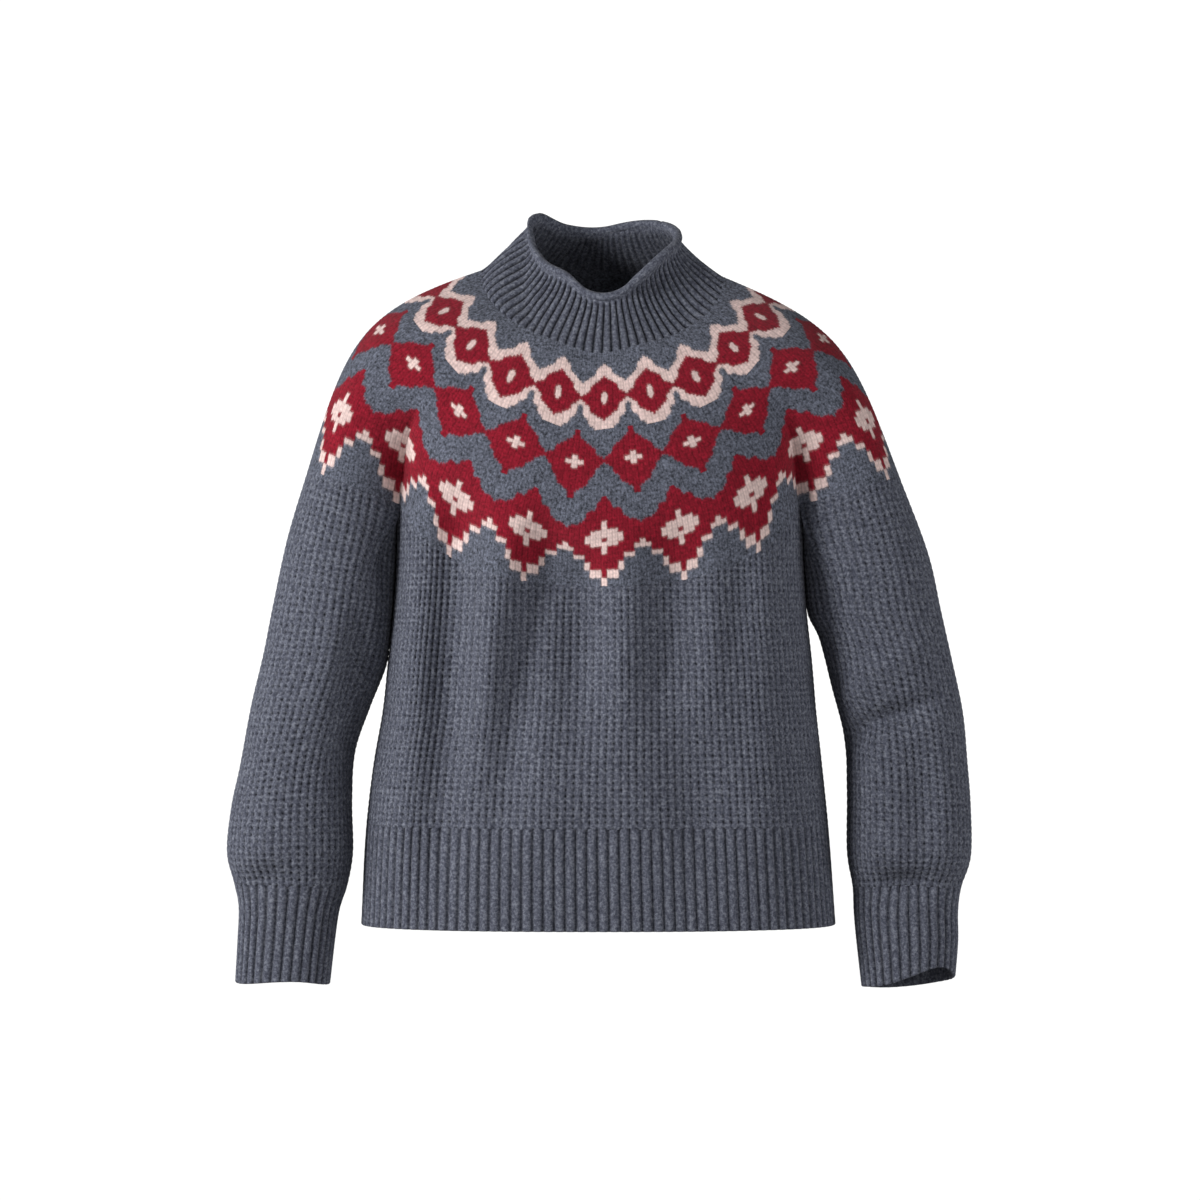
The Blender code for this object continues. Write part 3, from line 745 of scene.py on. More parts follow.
# %% Relief of the two knits
WAFFLE_ROW, WAFFLE_DEPTH, WAFFLE_ACROSS, WAFFLE_DOWN = 6.0, 2.5, 5, 4
BETWEEN_PITS, AT_PITS, ROW_LINE, UNEVENNESS, CELL_ROWS = 0.30, 0.70, 0.13, 0.2, 60
RIB_DEPTH, RIB_STITCH, RIB_SHADE = 2.4, 3.6, 0.75
RIB_PLACES = np.array([0, 0.1, 0.22, 0.38, 0.62, 0.78, 0.9])
GROOVE_BELL, GROOVE_WIDTH, GROOVE_WAVE = 0.66, 0.15, 0.34
RIB_LINE, RIB_LINE_WIDTH, RIB_RIPPLE = 0.06, 0.09, 0.06


def wave(places):
    """1 at every whole place and 0 half way between them: half of one plus a cosine."""
    return 0.5 + 0.5 * np.cos(2 * np.pi * places)


def uneven(rows, columns, seed):
    """One factor near 1 for each cell of a knit, the same at every run."""
    return 1 + UNEVENNESS * (2 * np.random.default_rng(seed).random((rows, columns)) - 1)


def waffle_depth(column, row, cells):
    """0 on a ridge and 1 in a pit: waves make grooves between columns, deepest on a row's line."""
    groove, line = wave(column) ** 3, wave(row)
    depth = groove * (BETWEEN_PITS + AT_PITS * line**1.5) + ROW_LINE * line**2 * (1 - groove)
    i = np.round(row).astype(int) % cells.shape[0]
    j = np.round(column).astype(int) % cells.shape[1]
    return depth * cells[i, j]


def rib_depth(column, stitch):
    """0 on a rib and 1 in its groove: a narrow bell on a wide wave.

    A faint line runs down the rib's middle, and a ripple marks each stitch.
    """
    off = np.abs(column - np.round(column))
    groove = GROOVE_BELL * bell(off, GROOVE_WIDTH) + GROOVE_WAVE * wave(off) ** 1.5
    middle = RIB_LINE * bell(off - 0.5, RIB_LINE_WIDTH)
    ripple = RIB_RIPPLE * wave(stitch) * (1 - groove)
    return groove + middle + ripple


def rib_columns(count, closed=True):
    """Places across the ribs: close together in the grooves, further apart on the flat."""
    places = (np.arange(count)[:, None] + RIB_PLACES).ravel()
    return places if closed else np.append(places, count)


def raised(points, normal, depth, most):
    """The points moved in along their normals by a relief's depth."""
    return points - normal * (depth * most)[..., None]


print("waffle rows", WAFFLE_ROW, "mm apart, ribs", RIB_DEPTH, "mm deep")

# %% [markdown]
# ## Front and back
#
# Each half of the body is knitted in level rows, and the curved yoke seam cuts across them. So
# the grid's rows count upwards from the hem rib at a quarter of a waffle row, and every column
# stops where it meets the seam, with its last point moved onto it. The grid's rows then keep
# to the waffle's, and no pit is ever stretched.

# %% Body panels
PANEL_COLUMNS, INNER_PANEL_ROWS = 78, 16


def around(angle, front):
    """An angle from the middle of the front or back, as one round the whole body."""
    return angle if front else np.pi - angle


def half_round(column, count, front):
    """Angles at which half the body, from side to side, is parted into equal columns."""
    reach = np.interp(np.pi / 2, ROUND_ANGLES, ROUND_SHARES)
    return around(body_angle((column / count * 2 - 1) * reach), front)


def steps_along(ids, most):
    """Triangles that close the steps where a column ends above or below its neighbour's end."""
    left, right, across = most[:-1], most[1:], np.arange(len(most) - 1)
    shorter = np.minimum(left, right)
    steps = []
    for extra in range(int(np.abs(left - right).max())):
        for height, tall, short, turned in (
            (left, across, across + 1, False),
            (right, across + 1, across, True),
        ):
            where = np.flatnonzero(height > shorter + extra)
            low = shorter[where] + extra
            ends = (ids[shorter[where], short[where]], ids[low + 1, tall[where]], ids[low, tall[where]])
            steps.append(np.stack(ends[::-1] if turned else ends, axis=-1))
    return steps


def make_panel(name, front, seed):
    """One half of the body, from the hem rib up to the yoke's seam."""
    side = 1 if front else -1
    column = spread(0, PANEL_COLUMNS, PANEL_COLUMNS * WAFFLE_ACROSS)
    angle = half_round(column, PANEL_COLUMNS, front)
    top = body_top(around(angle, front), front)
    bottom, step = HEM_RIB_DROP, WAFFLE_ROW / WAFFLE_DOWN
    most = np.maximum(np.round((bottom - top) / step).astype(int), 1)
    columns = np.arange(len(angle))
    level = np.arange(most.max() + 1)[:, None]
    drop = np.where(level >= most, top, bottom - level * step)
    points = body_point(angle, drop)
    normal = -side * normals_of(points, False)
    normal = np.where((level > most)[..., None], normal[most, columns], normal)
    cells = uneven(CELL_ROWS, PANEL_COLUMNS + 1, seed)
    depth = waffle_depth(np.broadcast_to(column, drop.shape), (bottom - drop) / WAFFLE_ROW, cells)
    outer = raised(points, normal, depth, WAFFLE_DEPTH)

    ids = np.arange(drop.size).reshape(drop.shape)
    quads = quads_of(ids, False).reshape(len(level) - 1, -1, 4)
    quads = quads[level[:-1] < np.minimum(most[:-1], most[1:])]

    share = spread(0, 1, INNER_PANEL_ROWS)[:, None]
    few = slice(None, None, WAFFLE_ACROSS)
    inner_points = body_point(angle[few], bottom + (top[few] - bottom) * share)
    inner = inner_points + side * normals_of(inner_points, False) * WALL
    inner_ids = ids.size + np.arange(inner[..., 0].size).reshape(inner.shape[:2])
    edges = [
        strip(ids[0], inner_ids[0], False, True),
        strip(ids[most, columns], inner_ids[-1], False, False),
        strip(ids[: most[0] + 1, 0], inner_ids[:, 0], False, False),
        strip(ids[: most[-1] + 1, -1], inner_ids[:, -1], False, True),
    ]
    # the waffle's depth also paints shade into its pits; the inner grid gets an even painted shade
    return knit(
        name,
        np.concatenate([outer.reshape(-1, 3), inner.reshape(-1, 3)]),
        np.concatenate([quads, quads_of(inner_ids, False)[:, ::-1]]),
        np.concatenate(steps_along(ids, most) + edges),
        front,
        waffle_wool,
        np.concatenate([depth.ravel(), np.full(inner_ids.size, INSIDE_SHADE)]),
    )


front_piece = make_panel("knit_front", True, ONE_SEED)
back_piece = make_panel("knit_back", False, ONE_SEED + 1)

# %% [markdown]
# ## A sheet with level rows
#
# The other pieces have the same number of points in every row, so one helper builds them all:
# an outer grid with its relief, an inner grid, and the strips between them.

# %% Sheet helper
EDGE_RADIUS = 1.4


def cloth(name, outer, inner, closed, turned, finish, painted_shade):
    """A sheet of two grids, joined along its edges."""
    ids = np.arange(outer[..., 0].size).reshape(outer.shape[:2])
    inner_ids = ids.size + np.arange(inner[..., 0].size).reshape(inner.shape[:2])
    edges = [strip(ids[row], inner_ids[row], closed, row == 0) for row in (0, -1)]
    if not closed:
        edges += [strip(ids[:, k], inner_ids[:, k], False, k == -1) for k in (0, -1)]
    quads = np.concatenate([quads_of(ids, closed), quads_of(inner_ids, closed)[:, ::-1]])
    points = np.concatenate([outer.reshape(-1, 3), inner.reshape(-1, 3)])
    # the inner grid gets an even painted shade
    shade = np.concatenate([painted_shade.ravel(), np.full(inner_ids.size, INSIDE_SHADE)])
    return knit(name, points, quads, np.concatenate(edges), turned, finish, shade)


def edge_inset(distance):
    """How far cloth turns in near its cut edge: a quarter round of EDGE_RADIUS."""
    share = np.clip(1 - distance / EDGE_RADIUS, 0, 1)
    return EDGE_RADIUS * (1 - np.sqrt(1 - share**2))


# %% [markdown]
# ## Hem rib
#
# The hem is knitted onto the body in a wide two-by-two rib. It follows the body's own oval down
# to the cast-off edge, which is turned in a little all round, as a soft edge is.

# %% Hem
HEM_RIBS, HEM_ROWS = 58, 34
EDGE_ROWS, EDGE_START = np.array([1.4, 0.9, 0.45, 0.15, 0]), 2.6
INNER_RIB, ROWS_PER_INNER = 0.35, 4


def ribbed(name, points, normal, depth, inset, rows, closed, turned):
    """A sheet of rib: an outer grid, and an inner one of fewer rows, whose ribs are flatter."""
    outer = raised(points, normal, depth + inset, RIB_DEPTH)
    few = np.r_[0:rows:ROWS_PER_INNER, rows : len(points)]
    through = INNER_RIB * depth[few] - inset[few] + RIB_WALL / RIB_DEPTH
    inner = raised(points[few], normal[few], through, RIB_DEPTH)
    # painted shade in the rib's grooves, by their depth
    return cloth(name, outer, inner, closed, turned, rib_wool, RIB_SHADE * depth)


def make_hem(name, front):
    """One half of the hem rib."""
    side = 1 if front else -1
    column = rib_columns(HEM_RIBS, False)
    angle = half_round(column, HEM_RIBS, front)
    drop = spread(HEM_RIB_DROP - SEAM_LAP, HEM_DROP - EDGE_START, HEM_ROWS)
    drop = np.append(drop, HEM_DROP - EDGE_ROWS)
    points = body_point(angle, drop[:, None])
    normal = side * normals_of(points, False)
    depth = rib_depth(column, (drop / RIB_STITCH)[:, None])
    inset = edge_inset(HEM_DROP - drop)[:, None] / RIB_DEPTH
    return ribbed(name, points, normal, depth, inset, HEM_ROWS, False, not front)


hem_front = make_hem("knit_hem_rib_front", True)
hem_back = make_hem("knit_hem_rib_back", False)

# %% [markdown]
# ## Sleeves and cuffs
#
# A sleeve is knitted flat and sewn under the arm, so its columns start and end there, and its
# rows run round it at a right angle. Equal lengths part the round into columns and the way down
# into rows. The cuff uses the same rings with the rib's relief, drawn in where it starts.

# %% Sleeves
SLEEVE_COLUMNS, SLEEVE_CELLS, CUFF_RIBS, CUFF_ROWS = 50, 61, 32, 44
INNER_SLEEVE_ROWS, CUFF_ROW_LENGTH = 32, 30
MIDDLE_ROW, TURN_SAMPLES, ROW_SAMPLES = 4.0, 2001, 801
SLEEVE_CREASES = (
    # side, turn, row, half turn, half row, slant in degrees a row, depth (troughs below 0)
    (-1, -124, 3.1, 19, 1.0, -6, -13),
    (-1, -97, 3.0, 13, 1.2, 0, 3),
    (-1, -138, 0.9, 20, 0.6, 0, -9),
    (-1, -150, 4.6, 20, 0.8, 0, -5),
    (-1, -70, 6.9, 22, 0.5, 12, 3),
    (-1, -70, 7.8, 24, 0.5, 12, -4),
    (-1, 104, 3.4, 15, 1.2, 6, -8),
    (-1, 80, 6.2, 17, 1.0, 0, -5),
    (1, -103, 4.4, 18, 0.6, -62, -13),
    (1, -103, 3.45, 20, 0.8, -55, 6),
    (1, -95, 7.9, 30, 0.5, 0, -11),
    (1, -92, 6.7, 34, 0.6, 0, 4),
    (1, -82, 6.0, 14, 1.1, 0, -10),
    (1, -120, 5.9, 15, 1.3, 0, 4),
    (1, -78, 9.9, 26, 0.9, 0, 3),
    (1, -128, 2.1, 18, 1.0, 0, -5),
    (1, 112, 4.1, 17, 0.9, 34, -8),
    (1, 84, 6.3, 16, 1.1, 0, -5),
)
CREASE_START = 0.8
CUFF_ARCHES = (
    # side, middle turn, half width in degrees, height of the arch
    (1, -54, 44, 11.5),
    (1, 95, 65, -5),
    (-1, -105, 40, 2.5),
    (-1, -20, 40, -1.5),
)


def even_turns(side, places):
    """Turns at which a sleeve's ring, half way down, is parted by these shares of its length."""
    turn = np.linspace(-np.pi, np.pi, TURN_SAMPLES)
    run = lengths_along(sleeve_point(side, turn, MIDDLE_ROW))
    return np.interp(places * run[-1], run, turn)


def even_rows(side, first, last, places):
    """Rows at which a sleeve's front, back and outer edge are parted by these shares of length."""
    row = np.linspace(first, last, ROW_SAMPLES)
    run = sum(lengths_along(sleeve_point(side, t, row)) for t in (-np.pi / 2, np.pi / 2, 0.0))
    return np.interp(places * run[-1], run, row)


def creases(side, turn, row):
    """How far the sleeve stands out: bells across its turn and along its rows, some slanting."""
    degrees, height = np.degrees(turn), 0
    for on_side, middle, middle_row, half_turn, half_row, slant, depth in SLEEVE_CREASES:
        off = wrapped(degrees - middle - slant * (row - middle_row), 180)
        bells = bell(off, half_turn) * bell(row - middle_row, half_row)
        height = height + (on_side == side) * depth * bells
    return height * eased(row / CREASE_START)


def make_sleeve(name, side, seed):
    """One sleeve, closed all round."""
    column = spread(0, SLEEVE_COLUMNS, SLEEVE_COLUMNS * WAFFLE_ACROSS, True)
    line = spread(0, SLEEVE_CELLS, SLEEVE_CELLS * WAFFLE_DOWN)
    turn = even_turns(side, column / SLEEVE_COLUMNS)
    row = even_rows(side, 0, CUFF_ROW, line / SLEEVE_CELLS)
    points = sleeve_point(side, turn, row[:, None])
    normal = side * normals_of(points, True)
    points = points + normal * creases(side, turn, row[:, None])[..., None]
    normal = side * normals_of(points, True)
    cells = uneven(SLEEVE_CELLS + 1, SLEEVE_COLUMNS, seed)
    depth = waffle_depth(*np.broadcast_arrays(column, line[:, None]), cells)
    outer = raised(points, normal, depth, WAFFLE_DEPTH)
    few_rows = np.linspace(0, len(line) - 1, INNER_SLEEVE_ROWS).astype(int)
    inner = (points - normal * WALL)[few_rows][:, ::WAFFLE_ACROSS]
    # the waffle's depth also paints shade into its pits, and the inner grid an even painted shade
    return cloth(name, outer, inner, True, side < 0, waffle_wool, depth)


def make_cuff(name, side):
    """One cuff, from the sleeve to its cast-off edge, which its arches raise here and there."""
    column = rib_columns(CUFF_RIBS)
    turn = even_turns(side, column / CUFF_RIBS)
    first = CUFF_ROW - SEAM_LAP / SLEEVE_ROW_LENGTH
    last = LAST_ROW - EDGE_START / CUFF_ROW_LENGTH
    row = even_rows(side, first, last, spread(0, 1, CUFF_ROWS))
    row = np.append(row, LAST_ROW - EDGE_ROWS / CUFF_ROW_LENGTH)
    arch = sum(
        height * bell(wrapped(turn - np.radians(middle)), np.radians(half))
        for on_side, middle, half, height in CUFF_ARCHES
        if on_side == side
    )
    lifted = arch / CUFF_ROW_LENGTH * eased((row - CUFF_ROW - 1) / 2)[:, None]
    points = sleeve_point(side, turn, row[:, None] - lifted)
    normal = side * normals_of(points, True)
    points = points + normal * creases(side, turn, row[:, None])[..., None]
    depth = rib_depth(column, (row * CUFF_ROW_LENGTH / RIB_STITCH)[:, None])
    inset = edge_inset((LAST_ROW - row) * CUFF_ROW_LENGTH)[:, None] / RIB_DEPTH
    return ribbed(name, points, normal, depth, inset, CUFF_ROWS, True, side < 0)


sleeve_left = make_sleeve("knit_sleeve_left", 1, ONE_SEED + 2)
sleeve_right = make_sleeve("knit_sleeve_right", -1, ONE_SEED + 3)
cuff_left = make_cuff("knit_cuff_left", 1)
cuff_right = make_cuff("knit_cuff_right", -1)

# %% [markdown]
# ## Collar
#
# The collar is one strip of rib, joined at the wearer's back left, whose plain top edge curls
# outwards by itself. Its section runs up the outside, round the roll and down the inside, and is
# carried round the neck. The ribs fade where the curl begins, and fine lines run along the roll,
# cut in and darkened with painted shade, as are the rib's grooves and the whole inside.

# %% Collar piece
COLLAR_RIBS, COLLAR_ROWS, ROLL_POINTS, INNER_COLLAR_ROWS = 75, 28, 18, 14
COLLAR_STITCHES, NECK_SAMPLES = 14, 1441
COLLAR_SEAM_ANGLE, COLLAR_SEAM_WIDTH, SEAM_HOLLOW, SEAM_NOTCH = np.radians(129), 0.035, 0.5, 0.9
COLLAR_RIB_DEPTH, INNER_RIB_DEPTH, ROLL_LINE_DEPTH, ROLL_SHADE = 2.3, 1.8, 0.22, 0.15
RIB_FADE, INNER_RIB_FADE = 0.1, 0.12


def collar_grid(column, rows):
    """The collar's points, its normals, its rows' shares of the way up, and its seam's line."""
    neck = np.linspace(0, 2 * np.pi, NECK_SAMPLES)
    run = lengths_along(collar_base(neck))
    angle = np.interp(column / COLLAR_RIBS * run[-1], run, neck)
    share = spread(-SEAM_LAP / COLLAR_LENGTH, 1, rows)[:, None]
    points = collar_point(angle, share)
    return points, -normals_of(points, True), share, bell(angle - COLLAR_SEAM_ANGLE, COLLAR_SEAM_WIDTH)


def make_collar():
    """A closed section carried round the neck: up the outside, round the roll, down the inside."""
    column = rib_columns(COLLAR_RIBS)
    points, normal, share, seam_line = collar_grid(column, COLLAR_ROWS)
    depth = rib_depth(column, share * COLLAR_STITCHES) * eased((1 - share) / RIB_FADE)
    # the seam's line is sunk into the rib, and through the depth painted with shade as well
    depth = depth + seam_line * SEAM_HOLLOW * (1 - depth)
    outer = raised(points, normal, depth, COLLAR_RIB_DEPTH)

    inner_points, inner_normal, inner_share, _ = collar_grid(column, INNER_COLLAR_ROWS)
    below_roll = eased((1 - inner_share) / INNER_RIB_FADE)
    inner_depth = rib_depth(column + 0.5, inner_share * COLLAR_STITCHES) * below_roll
    inner = inner_points - inner_normal * (RIB_WALL - INNER_RIB_DEPTH * inner_depth)[..., None]
    # painted shade on the collar's inside, all the way up to the roll
    inside = (INSIDE_SHADE + (1 - INSIDE_SHADE) * inner_depth) * below_roll

    up = np.array([0, 0, 1.0])
    level = normal[-1] * (1, 1, 0)
    level /= np.linalg.norm(level, axis=-1, keepdims=True)
    half_opening = np.arcsin(RIB_WALL / 2 / ROLL_RADIUS)
    centre = points[-1] - normal[-1] * RIB_WALL / 2 + up * ROLL_RADIUS * np.cos(half_opening)
    turns = spread(half_opening, 2 * np.pi - half_opening, ROLL_POINTS + 1)[1:-1][:, None, None]
    lines = wave(np.arange(ROLL_POINTS) / 2)[:, None, None]
    radius = ROLL_RADIUS - ROLL_LINE_DEPTH * lines - (SEAM_NOTCH * seam_line)[None, :, None]
    roll = centre + radius * (level * np.sin(turns) - up * np.cos(turns))
    # painted shade in the fine lines along the roll
    painted_roll_shade = np.broadcast_to(ROLL_SHADE * lines[..., 0], roll.shape[:2])

    section = np.concatenate([outer, roll, inner[::-1]])
    # painted shade: the grooves and seam line outside, the roll's lines, and the dark inside
    shade = np.concatenate([depth, painted_roll_shade, inside[::-1]])
    ids = np.arange(shade.size).reshape(shade.shape)
    quads = quads_of(np.concatenate([ids, ids[:1]]), True)
    none = np.empty((0, 3), int)
    return knit("knit_collar", section.reshape(-1, 3), quads, none, True, rib_wool, shade.ravel())


collar_piece = make_collar()

# %% [markdown]
# ## The yoke's pattern
#
# A stranded yoke is worked from a chart, one letter for each stitch: red, pink or slate. It has
# three bands with more stitches a repeat as the yoke widens: eight, ten and fourteen. Each chart
# below is half a motif, from its middle column outwards, and the yoke mirrors it. These are
# traditional shapes of lozenges, zigzags and small flowers.

# %% Charts
# red, green, blue, and how far the flecks swing a stitch's lightness
SLATE, RED, PINK = (0.092, 0.100, 0.129, 0.75), (0.205, 0.006, 0.017, 0.38), (0.66, 0.50, 0.47, 0.14)
YARNS = {".": SLATE, "R": RED, "P": PINK}
LOZENGES = """
P.... PP... PP... RPP.. RRPP. RRRPP RRRPP PRRRP
PRRRR PRRRP RRRP. RRRP. RRPP. RPP.. PPP.. PP...
""".split()
ZIGZAG = """
R..... R..... RR.... RRR... RRRR.. RRRR.. PRRRR. PPRRRR
PRRRR. RRRR.. RRRR.. RRR... RRR... RR.... R..... R.....
""".split()
FLOWERS = """
R....... RR...... RR...... RRRR.... RRRR.... RRRRR... PRRRRRR. PRRRRRRR PPPRRRRR PPPPRRRR RPPPRRRR
PPPRRRRP PRRRRRPP PRRRRR.. RRRRPP.. RRRR.... RRRP.... RRRP.... RPP..... RPP..... P....... P.......
""".split()
PLAIN = ["....."] * 3
BANDS = (
    # chart, stitches a repeat, where the motif's middle lies in the repeat, yarn left unrounded
    (PLAIN + LOZENGES, 8, 0.0, ""),
    (ZIGZAG, 10, 0.5, "P"),
    (FLOWERS, 14, 0.0, "P"),
)
YOKE_ROWS = sum(len(band[0]) for band in BANDS)
print("yoke rows", YOKE_ROWS, "stitches at the seam", REPEATS * BANDS[-1][1])

# %% [markdown]
# ## Knitting the yoke
#
# A knit stitch is a small V, so the edge between two colours is a zigzag and never a straight
# line. The grid takes that into its own lines: its points sink towards the middle of every
# stitch, and each face then belongs to one stitch only and has one colour. The two arms of the V
# are rounded, with valleys between columns and rows. A narrow strip joins bands whose stitch
# counts differ, where the V is flattened to a straight line.

# %% Yoke piece
ARM_PLACES = np.array([0, 0.25, 0.5, 0.75])
ARM_HEIGHTS = np.array([0.0, 1.0, 0.45, 1.0])
CHEVRON, STITCH_DEPTH, BAND_JOINT, ROW_VALLEY, STITCH_SHADE = 0.14, 0.4, 0.15, 0.55, 0.5
PATTERN_SHIFT, SNUG_ABOVE, SNUG_BELOW, SNUG_FROM, SNUG_SPAN = 0.05, 0.34, 0.18, 0.45, 0.35
LIFT, SHOULDER_LIFT, CORNER_STRETCH = 0.01, -0.055, 0.03
INNER_YOKE_ROWS, INNER_YOKE_COLUMNS = 28, 144
YARN_SEED, HAND, BLEED, TONE = 5, 0.10, 0.45, 0.10
YOKE_LAP = SEAM_LAP / YOKE_LENGTH


def worn_repeat(repeat, share):
    """Where a chart's repeat lies on the worn yoke: drawn in to the front, most near the collar."""
    shifted = repeat + PATTERN_SHIFT
    snug = SNUG_ABOVE + (SNUG_BELOW - SNUG_ABOVE) * eased((share - SNUG_FROM) / SNUG_SPAN)
    return shifted - snug * np.sin(2 * np.pi * shifted / REPEATS)


def worn_share(repeat, share):
    """Where a chart's row lies: half a wave and a whole one down the yoke stretch its cloth."""
    angle = repeat * 2 * np.pi / REPEATS
    once = (LIFT + SHOULDER_LIFT * np.sin(angle) ** 2) * np.sin(np.pi * share)
    twice = CORNER_STRETCH * np.sin(2 * angle) ** 2 * np.sin(2 * np.pi * share)
    return even_share(repeat, share + once + twice)


def band_grid(chart, stitches, middle, first_row, rng):
    """A band's points and their relief, the yoke's repeats at them, and its letters all round."""
    count, rows = stitches * REPEATS, len(chart)
    place = (np.arange(count)[:, None] + ARM_PLACES).ravel()
    repeat = (place - 0.5) / stitches + middle
    sink = np.tile(np.abs(2 * ARM_PLACES - 1), count)
    row = spread(0, rows, 2 * rows)[:, None]
    free = np.minimum(eased(row), eased(rows - row))
    line = row - CHEVRON * (sink - 0.5) * free
    line = line + HAND * (2 * rng.random(line.shape) - 1) * free
    place = place + HAND * (2 * rng.random(line.shape) - 1) * free
    top = BAND_JOINT / 2 if first_row > 0 else 0
    bottom = rows - (BAND_JOINT / 2 if first_row + rows < YOKE_ROWS else 0)
    share = (first_row + np.clip(line, top, bottom)) / YOKE_ROWS * (1 + 2 * YOKE_LAP) - YOKE_LAP
    worn = worn_repeat((place - 0.5) / stitches + middle, share)
    points = yoke_surface(worn, worn_share(worn, share))
    between_rows = np.where(np.arange(2 * rows + 1) % 2 == 0, ROW_VALLEY, 1.0)[:, None]
    relief = 1 - np.tile(ARM_HEIGHTS, count) * between_rows
    step = np.arange(count) % stitches
    letters = np.array([list(line_of) for line_of in chart])[:, np.minimum(step, stitches - step)]
    return points, relief, repeat, worn, letters


def rounded(letters, whole):
    """The chart at half rows and quarter stitches, with its stairs' corners taken off.

    A corner is given away if the stitches beside it and above or below it agree on another yarn.
    Stitches that would lose three or four corners keep them all, so that single ones don't shrink,
    and so do the stitches of one yarn, whose shapes stay whole.
    """
    beside = {-1: np.roll(letters, 1, 1), 1: np.roll(letters, -1, 1)}
    above = np.concatenate([letters[:1], letters[:-1]])
    below = np.concatenate([letters[1:], letters[-1:]])
    given = {
        (half, way): (beside[way] == level) & (level != letters) & (level != whole)
        for half, level in ((0, above), (1, below))
        for way in (-1, 1)
    }
    given = {place: gone & (letters != whole) for place, gone in given.items()}
    kept = sum(gone.astype(int) for gone in given.values()) > 2
    fine = np.repeat(np.repeat(letters, 2, 0), len(ARM_PLACES), 1)
    for (half, way), gone in given.items():
        cell = fine[half::2, (0 if way < 0 else len(ARM_PLACES) - 1) :: len(ARM_PLACES)]
        cell[gone & ~kept] = beside[way][gone & ~kept]
    return fine


def bled(faces):
    """A colour for each corner of each face: its own, and a share of the mean around that point."""
    rows = np.concatenate([faces[:1], faces, faces[-1:]])
    points = (rows[:-1] + rows[1:] + np.roll(rows[:-1], 1, 1) + np.roll(rows[1:], 1, 1)) / 4
    right = np.roll(points, -1, 1)
    corners = np.stack([points[:-1], points[1:], right[1:], right[:-1]], axis=2)
    return faces[:, :, None] * (1 - BLEED) + corners * BLEED


def yarn_colours(letters, whole, rng):
    """The colours of the fine chart's cells, each stitch a little lighter or darker than the next."""
    fine = rounded(letters, whole)
    colours = np.empty(fine.shape + (4,))
    for letter, colour in YARNS.items():
        colours[fine == letter] = colour
    tone = 1 + TONE * (2 * rng.random(letters.shape) - 1)
    colours[..., :3] *= np.repeat(np.repeat(tone, 2, 0), len(ARM_PLACES), 1)[..., None]
    return colours


def closed_chain(ids, repeat):
    """A ring's points in the order of their repeats, with its first point again at the end."""
    order = np.argsort(repeat % REPEATS)
    here = (repeat % REPEATS)[order]
    return np.append(ids[order], ids[order[0]]), np.append(here, here[0] + REPEATS)


def inner_yoke():
    """A plain grid a wall inside the yoke, and its columns' repeats."""
    repeat = spread(0, REPEATS, INNER_YOKE_COLUMNS, True)
    share = spread(-YOKE_LAP, 1 + YOKE_LAP, INNER_YOKE_ROWS)[:, None] + 0 * repeat
    plain = yoke_surface(repeat, share)
    return plain - normals_of(plain, True) * WALL, repeat


def make_yoke():
    """Three bands with their own stitch counts, strips between them, and an inner wall."""
    rng = np.random.default_rng(YARN_SEED)
    points, painted_shade, quads, quad_yarn, triangles, triangle_yarn = [], [], [], [], [], []
    first_id, first_row, above, ends = 0, 0, None, []
    for chart, stitches, middle, whole in BANDS:
        band, relief, repeat, worn, letters = band_grid(chart, stitches, middle, first_row, rng)
        ids = first_id + np.arange(relief.size).reshape(relief.shape)
        faces = yarn_colours(letters, whole, rng)
        points.append(raised(band, normals_of(band, True), relief, STITCH_DEPTH).reshape(-1, 3))
        # painted shade in the valleys between stitches and rows, by their relief
        painted_shade.append(STITCH_SHADE * relief.ravel())
        quads.append(quads_of(ids, True))
        quad_yarn.append(bled(faces).reshape(-1, 4))
        order = np.argsort(repeat % REPEATS)
        if above is not None:
            zipper, on_upper, step = zipped(*above[0], *closed_chain(ids[0], repeat))
            colours = [np.take(row, step, 0, mode="clip") for row in (above[1], faces[0][order])]
            triangles.append(zipper)
            triangle_yarn.append(np.where(on_upper[:, None], *colours))
        above = closed_chain(ids[-1], repeat), faces[-1][order]
        ends += [closed_chain(ids[row], worn[row]) for row in (0, -1)]
        first_id, first_row = first_id + relief.size, first_row + len(chart)

    inner, inner_repeat = inner_yoke()
    inner_ids = first_id + np.arange(inner[..., 0].size).reshape(inner.shape[:2])
    points.append(inner.reshape(-1, 3))
    # the inner wall gets an even painted shade
    painted_shade.append(np.full(inner_ids.size, INSIDE_SHADE))
    quads.append(quads_of(inner_ids, True)[:, ::-1])
    quad_yarn.append(np.tile(SLATE, (quads[-1].size, 1)))
    for row in (0, -1):
        edge = zipped(*ends[row], *closed_chain(inner_ids[row], inner_repeat))[0]
        triangles.append(edge[:, ::-1] if row == 0 else edge)
        triangle_yarn.append(np.tile(SLATE, (len(edge), 1)))
    return knit(
        "knit_yoke",
        np.concatenate(points),
        np.concatenate(quads),
        np.concatenate(triangles),
        False,
        pattern_wool,
        np.concatenate(painted_shade),
        quad_yarn + [np.repeat(part, 3, 0) for part in triangle_yarn],
    )


yoke_piece = make_yoke()
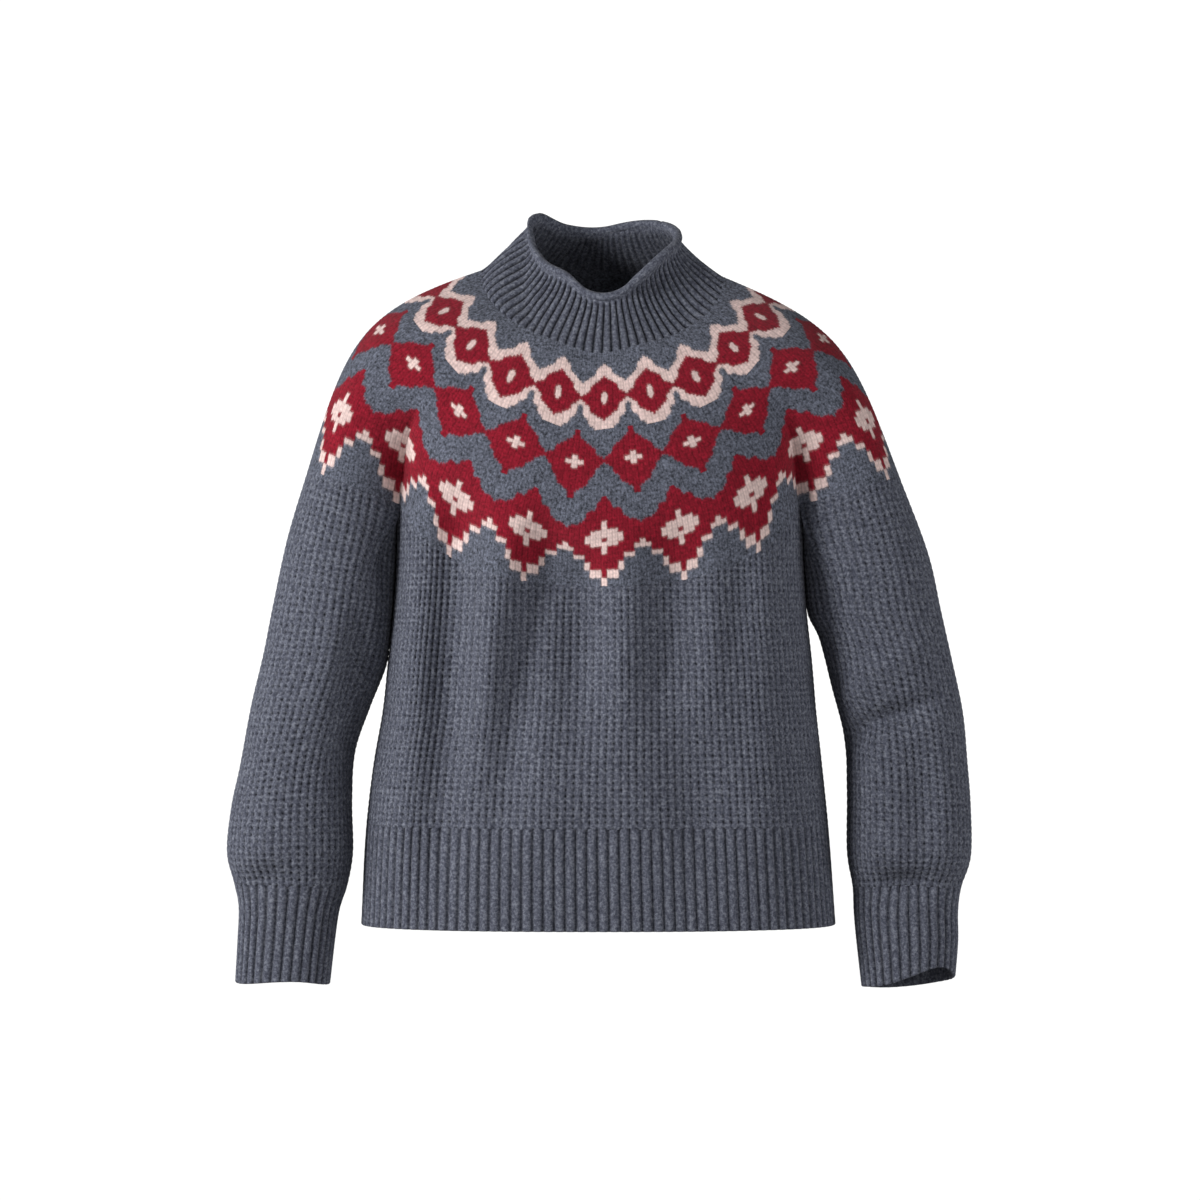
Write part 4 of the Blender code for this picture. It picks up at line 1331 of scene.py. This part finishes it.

# %% [markdown]

# %% [markdown]
# ## Studio
#
# The pullover floats as it would on an unseen stand. A soft key light high on the left and a
# weaker one at its side model the folds, a wide one fills the front, and a low one the right.
# The camera sees the floor and the sky as pure white, but to the cloth they are dim, so that its
# shadows keep their depth. The view is plain, so white stays white.

# %% Floor, world and lights
FLOOR_HEIGHT, FLOOR_RADIUS, FLOOR_POINTS = -0.80, 14.0, 96
FLOOR_GREY, FLOOR_ROUGHNESS, FLOOR_WHITE = (0.5, 0.5, 0.5, 1), 0.9, 1.05
SKY_FILL, SKY_WHITE = 0.03, 1.1
LIGHTS = {
    # place, the point it looks at, size in metres, power in watts
    "key": ((-3.2, -2.2, 1.0), (0, 0, -0.3), 1.0, 185),
    "side": ((-3.9, -0.8, 0.0), (0, 0, -0.3), 1.0, 55),
    "front": ((1.0, -3.7, 0.0), (0, 0, -0.35), 2.0, 29),
    "right": ((3.4, -1.8, 0.1), (0, 0, -0.3), 1.6, 68),
}


def for_camera(tree, lit, seen):
    """One shader for the light that bounces, and another where the camera looks."""
    ray = add_node(tree, "LightPath", {}).outputs["Is Camera Ray"]
    return add_node(tree, "MixShader", {"Fac": ray, 1: lit, 2: seen}).outputs["Shader"]


def add_floor():
    """A wide round floor that is grey as a surface and white to the camera."""
    angle = spread(0, 2 * np.pi, FLOOR_POINTS, True)
    across, along_y = FLOOR_RADIUS * np.cos(angle), FLOOR_RADIUS * np.sin(angle)
    ring = np.stack([across, along_y, 0 * angle + FLOOR_HEIGHT], -1)
    mesh = bpy.data.meshes.new("floor")
    mesh.from_pydata(ring.tolist(), [], [list(range(len(ring)))])
    finish = bpy.data.materials.new("pale_floor")
    finish.use_nodes = True
    tree = finish.node_tree
    grey = tree.nodes["Principled BSDF"]
    grey.inputs["Base Color"].default_value = FLOOR_GREY
    grey.inputs["Roughness"].default_value = FLOOR_ROUGHNESS
    white = add_node(tree, "Emission", {"Strength": FLOOR_WHITE}).outputs["Emission"]
    mixed = for_camera(tree, grey.outputs["BSDF"], white)
    tree.links.new(mixed, tree.nodes["Material Output"].inputs["Surface"])
    mesh.materials.append(finish)
    floor = bpy.data.objects.new("floor", mesh)
    bpy.context.collection.objects.link(floor)


def add_sky():
    """White where the camera sees it, and dim as a light."""
    world = bpy.data.worlds.new("white_room")
    world.use_nodes = True
    bpy.context.scene.world = world
    tree = world.node_tree
    tree.nodes.clear()
    dim, bright = (
        add_node(tree, "Background", {"Color": (1, 1, 1, 1), "Strength": strength})
        for strength in (SKY_FILL, SKY_WHITE)
    )
    mixed = for_camera(tree, dim.outputs["Background"], bright.outputs["Background"])
    add_node(tree, "OutputWorld", {"Surface": mixed})


def add_light(name, place, aim, size, power):
    """A square area light that looks at a point."""
    light = bpy.data.lights.new(name, "AREA")
    light.size, light.energy = size, power
    lamp = bpy.data.objects.new(name, light)
    lamp.location = place
    way = Vector(aim) - Vector(place)
    lamp.rotation_mode = "QUATERNION"
    lamp.rotation_quaternion = way.to_track_quat("-Z", "Y")
    bpy.context.collection.objects.link(lamp)


add_floor()
add_sky()
for name, light in LIGHTS.items():
    add_light(name, *light)
view = bpy.context.scene.view_settings
view.view_transform, view.look, view.exposure, view.gamma = "Standard", "None", 0.0, 1.0
print("lights", list(LIGHTS))

# %% [markdown]
# ## The end
#
# The last line brings the scene up to date.

# %% Finish
bpy.context.view_layer.update()
